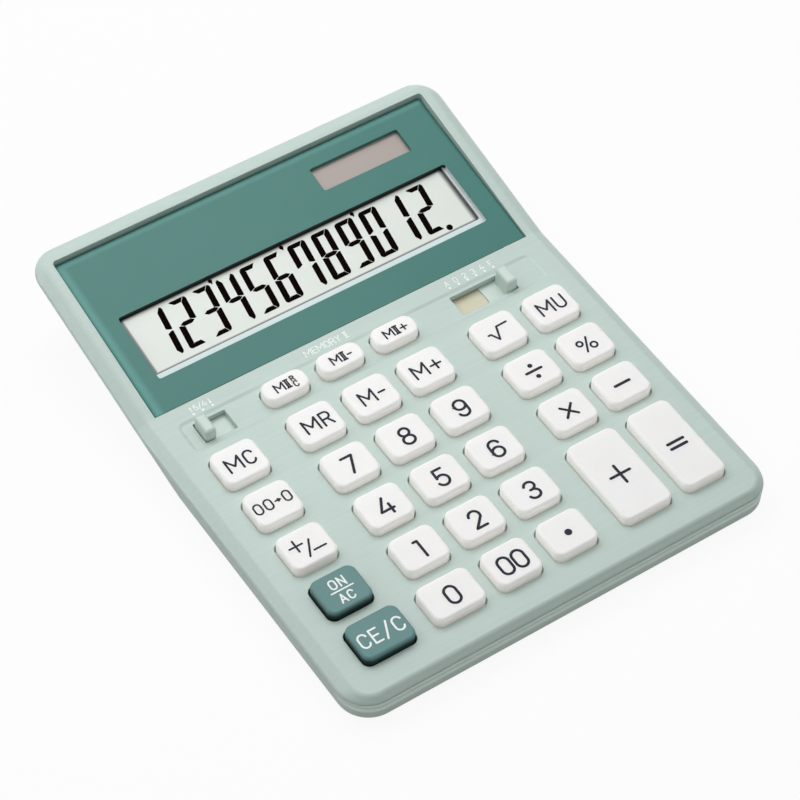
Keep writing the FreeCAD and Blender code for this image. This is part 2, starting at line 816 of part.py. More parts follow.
def upper_case():
    """Keyboard deck and display head, mitred at the crease, with their holes and bosses."""
    overlap = s.case_corner * 3
    deck_plate = bevelled_plate(
        "deck_plate", DECK, s.band_lip, deck_length + overlap, s.case_corner, s.flat_corner, s.deck_round
    )
    head_plate = bevelled_plate(
        "head_plate", HEAD, -overlap, head_length, s.head_corner, s.head_flat_corner, s.head_round
    )
    deck_half = common("deck_half", deck_plate, half_space("before_crease", MITRE, -1))
    head_half = common("head_half", head_plate, half_space("behind_crease", MITRE, 1))

    tray = tray_block("tray", sized(0))
    bosses = [
        rod(f"case_boss_{index}", DECK, fixing.x, fixing.y, fixing.ceiling - fixing.depth,
            s.boss_diameter, fixing.depth + s.tray_floor / 2)
        for index, fixing in enumerate(fixings)
    ]
    board_bosses = [
        rod(f"board_boss_{index}", DECK, x, y, board_top,
            s.board_post_diameter, plate_under - board_top + plate_thickness / 2)
        for index, (x, y) in enumerate(board_posts)
    ]
    blank = fuse("upper_blank", [deck_half, head_half, tray] + bosses + board_bosses)

    recess_outline = span(-panel_length, recess_back, recess_width, s.panel_corner, tray_top)
    recess = common(
        "panel_recess",
        slab("recess_blank", PANEL, recess_outline, REACH),
        half_space("behind_recess_front", PANEL, 1, -s.panel_gap),
    )
    lcd_hole = slab("lcd_hole", PANEL, lcd_opening, s.tray_floor + OVERRUN)
    solar_hole = slab("solar_hole", PANEL, grown(solar_opening, s.solar_gap), s.tray_floor + OVERRUN)
    strip_floor = Outline(
        sized(0), memory_y, case_width - s.strip_side * 2, s.memory_key_depth + s.strip_margin * 2,
        s.strip_corner, -s.strip_sink,
    )
    strip_flare = s.strip_slope * 2
    strip_top = grown(strip_floor, strip_flare)._replace(
        corner=s.strip_corner + strip_flare, level=s.strip_sink
    )
    strip = tapered_slab("switch_strip", DECK, strip_floor, strip_top)
    through = plate_thickness + OVERRUN * 2
    below = plate_under - OVERRUN
    slots = [slab(f"{switch.name}_slot", DECK, slot_outline(switch, below), through) for switch in switches]
    rooms = [slider_room(switch) for switch in switches]
    key_holes = [
        slab(
            f"{key.label}_hole", DECK,
            Outline(key.x, key.y, key.width + s.key_gap * 2, key.depth + s.key_gap * 2,
                    key.corner - s.hole_sharpness, below),
            through,
        )
        for key in keys
    ]
    bores = [
        rod(f"case_bore_{index}", DECK, fixing.x, fixing.y, fixing.ceiling - fixing.depth,
            s.screw_diameter + s.screw_slack, s.screw_bite + s.screw_slack)
        for index, fixing in enumerate(fixings)
    ]
    board_bores = [
        rod(f"board_bore_{index}", DECK, x, y, board_top, board_bore, s.screw_bite + s.screw_slack)
        for index, (x, y) in enumerate(board_posts)
    ]
    tools = [recess, lcd_hole, solar_hole, strip] + slots + rooms + key_holes + bores + board_bores
    return keep(cut("upper_case", blank, tools), "upper_case")


upper_case()


def lower_shell(name, inset, top_margin):
    """The lower case's outer form, moved in by an inset and up by a margin at its open top."""
    overlap = s.case_corner * 3
    width = case_width - inset * 2
    corner = s.case_corner - inset
    band_foot = span(inset, deck_length + overlap, width - s.band_lean * 2, corner, band_low)
    band_rim = span(inset, deck_length + overlap, width, corner, plate_under + top_margin)
    band = cut(
        f"{name}_band", tapered_slab(f"{name}_band_blank", DECK, band_foot, band_rim),
        [half_space(f"{name}_band_end", BAND_END, 1)],
    )
    keyboard_depth = front_height + deck_length * 2 * sin(s.deck_tilt)
    keyboard_inset = keyboard_depth * tan(s.keyboard_taper) + s.band_step
    keyboard_top = span(
        inset + s.band_step, deck_length + overlap, width - s.band_step * 2, corner - s.band_step, band_low
    )
    keyboard_low = span(
        inset + keyboard_inset, deck_length + overlap, width - keyboard_inset * 2, s.flat_corner,
        band_low - keyboard_depth,
    )
    keyboard = cut(
        f"{name}_keyboard", tapered_slab(f"{name}_keyboard_blank", DECK, keyboard_low, keyboard_top),
        [half_space(f"{name}_keyboard_end", KEYBOARD_END, 1)],
    )
    head_depth = front_height + head_length / 2
    head_inset = head_depth * tan(s.head_taper) + s.head_step
    head_top = span(
        -overlap, head_length - s.head_step - inset, width - s.head_step * 2,
        s.head_corner - inset - s.head_step,
        plate_under + top_margin,
    )
    head_low = span(
        -overlap, head_length - head_inset - inset, width - head_inset * 2, s.head_flat_corner,
        plate_under + top_margin - head_depth,
    )
    head = tapered_slab(f"{name}_head", HEAD, head_low, head_top)
    return fuse(name, [band, keyboard, head])


def lower_case():
    """The tray under the deck, with screw posts, a battery bay and foot recesses."""
    outer = lower_shell("lower_outer", sized(0), sized(0))
    inner = lower_shell("lower_inner", s.wall, sized(OVERRUN))
    above_floor = block("above_floor", BASE, -REACH / 2, -REACH / 2, s.floor_thickness, REACH, REACH, REACH)
    tray_room = tray_block("tray_room", s.inner_gap)
    boss_room = [
        rod(f"boss_room_{index}", DECK, fixing.x, fixing.y, fixing.ceiling - fixing.depth,
            s.boss_diameter + s.inner_gap * 2, fixing.depth)
        for index, fixing in enumerate(fixings)
    ]
    cavity = common("lower_cavity", inner, above_floor)
    shell = cut("lower_shell", outer, [cavity, tray_room] + boss_room)

    posts = []
    wells = []
    for index, fixing in enumerate(fixings):
        top = fixing.ceiling - fixing.depth
        foot = base_level(fixing.y) - s.floor_thickness
        shelf = top - s.post_shelf
        posts.append(rod(f"post_{index}", DECK, fixing.x, fixing.y, foot, s.post_diameter, top - foot))
        wells.append(rod(f"well_{index}", DECK, fixing.x, fixing.y, foot,
                         s.screw_head + s.screw_slack * 2, shelf - foot))
        wells.append(rod(f"post_bore_{index}", DECK, fixing.x, fixing.y, shelf - OVERRUN,
                         s.screw_diameter + s.screw_slack * 2, s.post_shelf + OVERRUN * 2))
    bay_walls = [
        block(f"bay_wall_{side}", BASE, low_x, battery_y - door_width / 2, s.floor_thickness / 2,
              s.bay_wall, door_width, s.bay_height)
        for side, low_x in (("left", -bay_half - s.bay_wall), ("right", bay_half))
    ]
    below_base = block("below_base", BASE, -REACH / 2, -REACH / 2, -REACH, REACH, REACH, REACH)
    door_hole = block(
        "door_hole", BASE, -battery_half, battery_y - door_width / 2, -OVERRUN,
        s.battery_length, door_width, s.floor_thickness + OVERRUN * 2,
    )
    foot_holes = [
        rod(f"foot_hole_{index}", BASE, x, y, -OVERRUN, s.foot_diameter, s.foot_sink + OVERRUN)
        for index, (x, y) in enumerate(foot_places)
    ]
    blank = fuse("lower_blank", [shell] + posts + bay_walls)
    return keep(cut("lower_case", blank, [below_base, door_hole] + wells + foot_holes), "lower_case")


lower_case()


def display_panel():
    """The cover plate of the display head, round at the back and square at the crease, with two windows."""
    body = new_body("panel_blank", PANEL)
    plate = span(-panel_length, panel_length, panel_width, s.panel_corner, tray_top)
    plate_pad = add_pad(body, draw_outline(body, "plate", plate), s.panel_thickness)
    round_edges(body, plate_pad, s.panel_edge, at_level(sized(0)))
    add_pocket(body, draw_outline(body, "window", window), s.panel_thickness, True)
    solar = Outline(solar_x, solar_y, s.solar_width, s.solar_height, s.window_corner, tray_top)
    add_pocket(body, draw_outline(body, "solar_window", solar), s.panel_thickness, True)
    return keep(common("display_panel", body, half_space("behind_crease_front", PANEL, 1)), "display_panel")


display_panel()

# The bezel's opening lies higher and further left than the window, so that the bezel shows on two sides
bezel_low_x = window_low_x - s.bezel_hidden
bezel_high_x = window_high_x - s.bezel_side
bezel_opening = span(
    s.window_base + s.bezel_foot, window_top + s.bezel_hidden, bezel_high_x - bezel_low_x, s.window_corner,
    tray_low, (bezel_low_x + bezel_high_x) / 2,
)


def lcd_bezel():
    """A pale frame in the tray's opening that shows along the foot and right of the window."""
    body = new_body("lcd_bezel", PANEL)
    rim = grown(lcd_opening, -s.bezel_gap)
    add_pad(body, draw_outline(body, "rim", rim), s.tray_floor)
    add_pocket(body, draw_outline(body, "opening", bezel_opening), s.tray_floor, True)
    return keep(body, "lcd_bezel")


def lcd_glass():
    """The display's glass under the tray, with its front sheet raised into the bezel."""
    body = new_body("lcd_glass", PANEL)
    add_pad(body, draw_outline(body, "glass", glass), s.lcd_thickness)
    front_sheet = grown(bezel_opening, -s.bezel_gap)._replace(level=lcd_low)
    add_pad(body, draw_outline(body, "front_sheet", front_sheet), tray_top - s.lcd_sink - lcd_low)
    return keep(body, "lcd_glass")


lcd_bezel()
lcd_glass()


def lcd_retainer():
    """A channel under the glass whose ends reach up to the tray."""
    length = glass.width + (s.retainer_gap + s.retainer_metal) * 2
    low_x = glass.x - length / 2
    low_y = retainer_back - retainer_depth
    channel = block("retainer_channel", PANEL, low_x, low_y, retainer_low,
                    length, retainer_depth, tray_low - retainer_low)
    space = block("retainer_space", PANEL, low_x + s.retainer_metal, low_y - OVERRUN, lcd_low,
                  length - s.retainer_metal * 2, retainer_depth + OVERRUN * 2, s.lcd_thickness + OVERRUN)
    return keep(cut("lcd_retainer", channel, [space]), "lcd_retainer")


lcd_retainer()


def lcd_ribbon():
    """A thin flat cable from the underside of the glass down to the back of the board."""
    glass_front = glass.y - glass.depth / 2
    tail_y = glass_front + s.retainer_inset - s.retainer_gap
    thick = s.ribbon_thickness

    def from_panel(y, z):
        turn = s.panel_tilt
        return (deck_length + y * cos(turn) - z * sin(turn), y * sin(turn) + z * cos(turn))

    corners = (
        (board_back - s.ribbon_foot, board_top),
        (board_back, board_top),
        from_panel(glass_front, lcd_low - thick),
        from_panel(tail_y, lcd_low - thick),
        from_panel(tail_y, lcd_low),
        from_panel(glass_front, lcd_low),
        (board_back, board_top + thick),
        (board_back - s.ribbon_foot, board_top + thick),
    )
    points = [FreeCAD.Vector(-s.ribbon_width.value / 2, y.value, z.value) for y, z in corners]
    face = Part.Face(Part.makePolygon(points + points[:1]))
    ribbon = doc.addObject("Part::Feature", "lcd_ribbon")
    ribbon.Shape = face.extrude(FreeCAD.Vector(s.ribbon_width.value, 0, 0))
    place(ribbon, DECK)
    return keep(ribbon, "lcd_ribbon")


lcd_ribbon()

# Solar cell in its opening, and the tape that closes the opening from below
keep(slab("solar_cell", PANEL, solar_opening, s.tray_floor), "solar_cell")
tape = grown(solar_opening, s.solar_gap + s.tape_margin)._replace(level=tray_low - s.tape_thickness)
keep(slab("solar_tape", PANEL, tape, s.tape_thickness), "solar_tape")


def key_mat():
    """A silicone sheet with a hollow dome under every key, cut out where the wipers run."""
    width = board_width - s.mat_inset * 2
    front = s.board_front + s.mat_inset
    back = board_back - s.ribbon_foot - s.mat_inset
    cloth = block("mat_sheet", DECK, -width / 2, front, board_top, width, back - front, s.mat_thickness)
    crown = flange_low - s.dome_gap
    domes = [
        taper(f"{key.label}_dome", DECK, key.x, key.y, mat_top, s.dome_foot, s.dome_crown, crown - mat_top)
        for key in keys
    ]
    hollow_height = crown - s.dome_wall - board_top
    hollows = [
        taper(f"{key.label}_dome_hollow", DECK, key.x, key.y, board_top,
              s.dome_foot - s.dome_wall * 2, s.dome_crown - s.dome_wall * 2, hollow_height)
        for key in keys
    ]
    post_holes = [
        rod(f"mat_post_hole_{index}", DECK, x, y, board_top, s.board_post_diameter + s.screw_slack * 2,
            s.mat_thickness)
        for index, (x, y) in enumerate(board_posts)
    ]
    notches = [
        block(f"{switch.name}_mat_notch", DECK,
              switch.slot_x - (switch.travel + s.wiper_length) / 2 - s.wiper_gap,
              wiper_y - s.wiper_gap, board_top,
              switch.travel + s.wiper_length + s.wiper_gap * 2, back - wiper_y + s.wiper_gap + OVERRUN,
              s.mat_thickness)
        for switch in switches
    ]
    blank = fuse("mat_blank", [cloth] + domes)
    return keep(cut("key_mat", blank, hollows + post_holes + notches), "key_mat")


key_mat()


def main_board():
    board = block("board_blank", DECK, -board_width / 2, s.board_front, board_low,
                  board_width, board_back - s.board_front, s.board_thickness)
    holes = [
        rod(f"board_hole_{index}", DECK, x, y, board_low, board_bore, s.board_thickness)
        for index, (x, y) in enumerate(board_posts)
    ]
    return keep(cut("main_board", board, holes), "main_board")


main_board()

# Parts on the underside of the board
processor_y = board_back - s.processor_setback
processor = taper("processor_cap", DECK, 0, processor_y, board_low - s.processor_height,
                  s.processor_crown, s.processor_diameter, s.processor_height)
keep(processor, "processor_cap")


def lying_rod(name, x, y, z, diameter, length):
    """A cylinder along X from x, with its axis at y, z of the part."""
    cylinder = doc.addObject("Part::Cylinder", name)
    on_its_side = FreeCAD.Rotation(FreeCAD.Vector(0, 1, 0), RIGHT_ANGLE)
    cylinder.Placement = FreeCAD.Placement(FreeCAD.Vector(), on_its_side)
    bind(cylinder, "Radius", diameter / 2)
    bind(cylinder, "Height", length)
    bind(cylinder, "Placement.Base.x", x)
    bind(cylinder, "Placement.Base.y", y)
    bind(cylinder, "Placement.Base.z", z)
    return cylinder


capacitor_x = s.processor_diameter / 2 + s.capacitor_offset
capacitor_y, capacitor_z = seen_from_part(DECK, processor_y, board_low - s.capacitor_diameter / 2)
capacitor = lying_rod(
    "board_capacitor", capacitor_x, capacitor_y, capacitor_z, s.capacitor_diameter, s.capacitor_length
)
keep(capacitor, "board_capacitor")


def screw(name, x, y, seat, diameter, head, head_height, length):
    """A screw pointing up, its head under the seat level."""
    shank = rod(f"{name}_shank", DECK, x, y, seat, diameter, length)
    cap = rod(f"{name}_head", DECK, x, y, seat - head_height, head, head_height)
    return fuse(name, [shank, cap])


case_screws = [
    screw(f"case_screw_{index}", fixing.x, fixing.y, fixing.ceiling - fixing.depth - s.post_shelf,
          s.screw_diameter, s.screw_head, s.screw_head_height, s.post_shelf + s.screw_bite)
    for index, fixing in enumerate(fixings)
]
keep(group("case_screws", case_screws), "case_screws")
board_screws = [
    screw(f"board_screw_{index}", x, y, board_low, s.board_screw_diameter, s.board_screw_head,
          s.board_screw_head_height, s.board_thickness + s.screw_bite)
    for index, (x, y) in enumerate(board_posts)
]
keep(group("board_screws", board_screws), "board_screws")

# Battery, its contacts and its door
battery_axis_z = s.foot_height + battery_z
battery_can_length = s.battery_length - s.battery_nub_length
battery_can = lying_rod(
    "battery_can", -battery_half, battery_y, battery_axis_z, s.battery_diameter, battery_can_length
)
battery_nub = lying_rod(
    "battery_nub_rod", -battery_half, battery_y, battery_axis_z, s.battery_nub, s.battery_length
)
keep(fuse("battery_cell", [battery_can, battery_nub]), "battery_cell")


def battery_contact(label, side):
    """A metal plate against the end of the bay with a raised middle that meets the battery."""
    plate_low = bay_half - s.contact_metal if side > 0 else -bay_half
    reach = s.contact_room - s.contact_metal
    raised_low = battery_half if side > 0 else -battery_half - reach
    plate = block(f"{label}_plate", BASE, plate_low, battery_y - s.contact_width / 2, s.floor_thickness,
                  s.contact_metal, s.contact_width, s.contact_height)
    raised = block(f"{label}_raised", BASE, raised_low, battery_y - s.battery_nub / 2,
                   battery_z - s.battery_nub / 2, reach, s.battery_nub, s.battery_nub)
    return keep(fuse(label, [plate, raised]), label)


battery_contact("battery_contact_negative", -1)
battery_contact("battery_contact_positive", 1)


def battery_door():
    """A snap door in the floor, hooked at the front by two tongues."""
    length = s.battery_length - s.door_gap * 2
    width = door_width - s.door_gap * 2
    low_y = battery_y - width / 2
    plate = block("door_plate", BASE, -length / 2, low_y, 0, length, width, s.floor_thickness)
    tongues = [
        block(f"door_tongue_{side}", BASE, s.battery_length / 4 * side - s.tongue_length / 2,
              low_y - s.door_gap - s.tongue_reach, s.floor_thickness,
              s.tongue_length, s.tongue_reach * 2, s.tongue_thickness)
        for side in (-1, 1)
    ]
    return keep(fuse("battery_door", [plate] + tongues), "battery_door")


battery_door()


def lead(frame, x, points):
    """A thin insulated wire in an upright plane, straight runs joined by arcs."""
    corners = [FreeCAD.Vector(x.value, y.value, z.value) for y, z in points]
    bend = s.lead_bend.value
    edges = []
    start = corners[0]
    for before, corner, after in zip(corners, corners[1:], corners[2:]):
        run_in = (corner - before).normalize()
        run_out = (after - corner).normalize()
        half_turn = run_in.getAngle(run_out) / 2
        tangent = bend * math.tan(half_turn)
        inward = (run_out - run_in).normalize()
        arc_start = corner - run_in * tangent
        arc_end = corner + run_out * tangent
        arc_middle = corner + inward * (bend / math.cos(half_turn) - bend)
        edges.append(Part.LineSegment(start, arc_start).toShape())
        edges.append(Part.Arc(arc_start, arc_middle, arc_end).toShape())
        start = arc_end
    edges.append(Part.LineSegment(start, corners[-1]).toShape())
    first_run = corners[1] - corners[0]
    ring = Part.Wire(Part.Circle(corners[0], first_run, s.lead_diameter.value / 2).toShape())
    wire = doc.addObject("Part::Feature", "lead")
    wire.Shape = Part.Wire(edges).makePipeShell([ring], True, False)
    place(wire, frame)
    return wire


def battery_leads():
    """From each battery contact along the floor and up to the back of the board."""
    level = s.floor_thickness + s.lead_gap + s.lead_diameter / 2
    board_y, board_z = seen_from_part(DECK, board_back - s.lead_tail, board_low)
    end = board_z - s.foot_height - s.lead_diameter * sin(s.deck_tilt)
    start_y = battery_y - s.contact_width / 2
    x = bay_half - s.lead_gap - s.lead_diameter / 2
    route = ((start_y, level), (board_y, level), (board_y, end))
    return keep(group("battery_leads", [lead(BASE, x * side, route) for side in (-1, 1)]), "battery_leads")


def solar_leads():
    """From the back of the solar cell under the display and up to the back of the board."""
    turn = s.panel_tilt
    back = board_back - s.lead_tail - deck_length
    end_y = back * cos(turn) + board_low * sin(turn)
    end_z = board_low * cos(turn) - back * sin(turn) - s.lead_diameter * sin(turn)
    level = retainer_low - s.lead_gap - s.lead_diameter / 2 - s.lead_bend
    route = ((solar_y, tray_low - s.tape_thickness), (solar_y, level), (end_y, level), (end_y, end_z))
    wires = [lead(PANEL, solar_x + s.solar_lead_pitch / 2 * side, route) for side in (-1, 1)]
    return keep(group("solar_leads", wires), "solar_leads")


battery_leads()
solar_leads()

feet = [
    rod(f"foot_{index}", BASE, x, y, -s.foot_height, s.foot_diameter, s.foot_height + s.foot_sink)
    for index, (x, y) in enumerate(foot_places)
]
keep(group("rubber_feet", feet), "rubber_feet")

# Check every object, then write one file for each sub-part
doc.recompute()
for thing in doc.Objects:
    if "Invalid" in thing.State or "Error" in thing.State:
        raise ValueError(f"{thing.Name} failed: {thing.State}")
os.makedirs("parts", exist_ok=True)
for piece in pieces:
    if piece.Shape.isNull() or not piece.Shape.isValid():
        raise ValueError(f"{piece.Label} has no valid shape")
    piece.Shape.exportStep(f"parts/{piece.Label}.step")
print(len(pieces), "sub-parts written")
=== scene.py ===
import json
import math

import bmesh
import bpy
from mathutils import Matrix, Vector


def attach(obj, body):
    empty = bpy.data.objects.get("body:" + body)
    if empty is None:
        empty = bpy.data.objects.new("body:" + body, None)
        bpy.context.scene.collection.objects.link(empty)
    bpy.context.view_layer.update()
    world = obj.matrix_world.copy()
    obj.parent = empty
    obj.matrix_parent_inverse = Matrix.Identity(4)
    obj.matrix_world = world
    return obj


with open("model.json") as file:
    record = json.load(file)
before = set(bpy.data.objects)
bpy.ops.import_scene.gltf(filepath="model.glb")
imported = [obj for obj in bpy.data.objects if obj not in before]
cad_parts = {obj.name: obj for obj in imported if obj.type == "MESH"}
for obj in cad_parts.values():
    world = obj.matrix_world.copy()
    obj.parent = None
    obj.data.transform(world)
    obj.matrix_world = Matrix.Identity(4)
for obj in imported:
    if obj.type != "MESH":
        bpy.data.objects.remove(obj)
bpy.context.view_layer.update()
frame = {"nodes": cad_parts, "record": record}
nodes = frame["nodes"]
scene = bpy.context.scene

# Lengths are in millimetres and slopes in degrees, apart from the floor, the lamps and the camera's clips
MM = 0.001
DECK_SLOPE = 2.3
PANEL_SLOPE = 9.6
DECK_TILT = math.radians(DECK_SLOPE)
PANEL_TILT = math.radians(DECK_SLOPE + PANEL_SLOPE)
KEY_RISE = 3.1
PLATE_THICKNESS = 3.0
FACE_DEPTH = 0.02


# Planes on the model: the part's axes turned about X by a tilt
def tilted(tilt):
    return Matrix.Rotation(tilt, 4, "X")


def corners_of(node, tilt):
    """The corners of a node along the axes of a tilted plane."""
    turn = tilted(tilt).to_3x3().transposed()
    return [turn @ vertex.co / MM for vertex in nodes[node].data.vertices]


def extremes(corners):
    """The lowest and the highest value along each axis."""
    low = Vector([min(corner[axis] for corner in corners) for axis in range(3)])
    high = Vector([max(corner[axis] for corner in corners) for axis in range(3)])
    return low, high


def reach(node, tilt):
    """Lowest and highest corner of a node."""
    return extremes(corners_of(node, tilt))


def top_face(node, tilt):
    """Lowest and highest corner of the flat face on top of a node."""
    corners = corners_of(node, tilt)
    top = extremes(corners)[1].z
    return extremes([corner for corner in corners if corner.z > top - FACE_DEPTH])


def plane_at(tilt, x, y, z):
    """The matrix of a plane whose origin is at x, y, z along its own turned axes."""
    return tilted(tilt) @ Matrix.Translation(Vector((x, y, z)) * MM) @ Matrix.Scale(MM, 4)


def top_plane(node, tilt):
    """A plane on top of a node, with its origin over the node's middle."""
    low, high = reach(node, tilt)
    return plane_at(tilt, (low.x + high.x) / 2, (low.y + high.y) / 2, high.z)


# Flat printed shapes, drawn as thin closed solids on a plane, each stroke a little higher than the last
INK_RISE = 0.02
INK_SINK = 0.02
STROKE_STEP = 0.001
CAP_STEPS = 8
DISC_STEPS = 28
SAME_POINT = 1e-6
MITRE_LIMIT = 0.5
ARC_STEP = 12
FEWEST_ARC_STEPS = 6


class Print:
    """Collects strokes and filled outlines and makes one mesh of them."""

    def __init__(self):
        self.mesh = bmesh.new()
        self.count = 0

    def levels(self):
        self.count += 1
        return -INK_SINK, INK_RISE + STROKE_STEP * self.count

    def rings(self, outline):
        low, high = self.levels()
        lower = [self.mesh.verts.new((x, y, low)) for x, y in outline]
        upper = [self.mesh.verts.new((x, y, high)) for x, y in outline]
        return lower, upper

    def wall(self, lower, upper):
        count = len(lower)
        for index in range(count):
            after = (index + 1) % count
            self.mesh.faces.new((lower[index], lower[after], upper[after], upper[index]))

    def area(self, outline):
        """A filled outline, given counter-clockwise."""
        lower, upper = self.rings(outline)
        self.wall(lower, upper)
        self.mesh.faces.new(upper)
        self.mesh.faces.new(lower[::-1])

    def disc(self, x, y, radius):
        self.area(circle_points(x, y, radius, radius, 0, 360, DISC_STEPS)[:-1])

    def stroke(self, points, width):
        """A line of constant width with round ends, or a ring where it ends at its start."""
        if math.dist(points[0], points[-1]) < SAME_POINT:
            self.ring(points[:-1], width)
            return
        sides = offsets(points, width / 2, False)
        first = cap(points[0], points[1], width / 2)
        last = cap(points[-1], points[-2], width / 2)
        right = [side[0] for side in sides]
        left = [side[1] for side in sides]
        lower, upper = self.rings(right + last + left[::-1] + first)
        self.wall(lower, upper)
        count = len(points)
        ends = len(last)
        for ring, flip in ((upper, 1), (lower, -1)):
            right_side = ring[:count]
            left_side = ring[count + ends:count * 2 + ends][::-1]
            for index in range(count - 1):
                quad = (right_side[index], right_side[index + 1], left_side[index + 1], left_side[index])
                self.mesh.faces.new(quad[::flip])
            self.mesh.faces.new(([right_side[-1]] + ring[count:count + ends] + [left_side[-1]])[::flip])
            self.mesh.faces.new(([left_side[0]] + ring[count * 2 + ends:] + [right_side[0]])[::flip])

    def ring(self, points, width):
        """A closed line of constant width."""
        sides = offsets(points, width / 2, True)
        low, high = self.levels()
        right_low, right_high, left_low, left_high = [
            [self.mesh.verts.new((*side[which], level)) for side in sides]
            for which in (0, 1)
            for level in (low, high)
        ]
        loops = (right_low, right_high, left_high, left_low)
        count = len(points)
        for index in range(count):
            after = (index + 1) % count
            for loop, beside in zip(loops, loops[1:] + loops[:1]):
                self.mesh.faces.new((loop[index], loop[after], beside[after], beside[index]))

    def finish(self, name, plane, material, body):
        bmesh.ops.recalc_face_normals(self.mesh, faces=self.mesh.faces)
        mesh = bpy.data.meshes.new(name)
        self.mesh.to_mesh(mesh)
        self.mesh.free()
        mesh.transform(plane)
        mesh.materials.append(material)
        piece = bpy.data.objects.new(name, mesh)
        scene.collection.objects.link(piece)
        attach(piece, body)


def circle_points(x, y, across, along, first, last, steps):
    """Points on an ellipse from one angle to another, in degrees."""
    angles = [math.radians(first + (last - first) * step / steps) for step in range(steps + 1)]
    return [(x + across * math.cos(angle), y + along * math.sin(angle)) for angle in angles]


def offsets(points, half, closed):
    """For each point of a line, the points beside it on the right and left."""
    sides = []
    count = len(points)
    for index, (x, y) in enumerate(points):
        before = points[index - 1] if index or closed else None
        after = points[(index + 1) % count] if index < count - 1 or closed else None
        steps = []
        if before:
            steps.append(Vector((x - before[0], y - before[1])).normalized())
        if after:
            steps.append(Vector((after[0] - x, after[1] - y)).normalized())
        run = sum(steps, Vector((0, 0))).normalized()
        stretch = half / max(MITRE_LIMIT, run.dot(steps[0]))
        right = (x + run.y * stretch, y - run.x * stretch)
        left = (x - run.y * stretch, y + run.x * stretch)
        sides.append((right, left))
    return sides


def cap(end, inner, half):
    """Points of a half circle round the end of a line, from its right side to its left."""
    out = math.atan2(end[1] - inner[1], end[0] - inner[0])
    turns = [out - math.pi / 2 + math.pi * step / CAP_STEPS for step in range(1, CAP_STEPS)]
    return [(end[0] + half * math.cos(turn), end[1] + half * math.sin(turn)) for turn in turns]


# Stroke letters, one unit high. Each is its width and its lines, and a line is split at its sharp corners
def arc(x, y, across, along, first, last):
    steps = max(FEWEST_ARC_STEPS, int(abs(last - first) / ARC_STEP))
    return circle_points(x, y, across, along, first, last, steps)


def stadium(width, top, bottom, bend):
    half = width / 2
    upper = arc(half, top - bend, half, bend, 0, 180)
    lower = arc(half, bottom + bend, half, bend, 180, 360)
    return upper + lower + upper[:1]


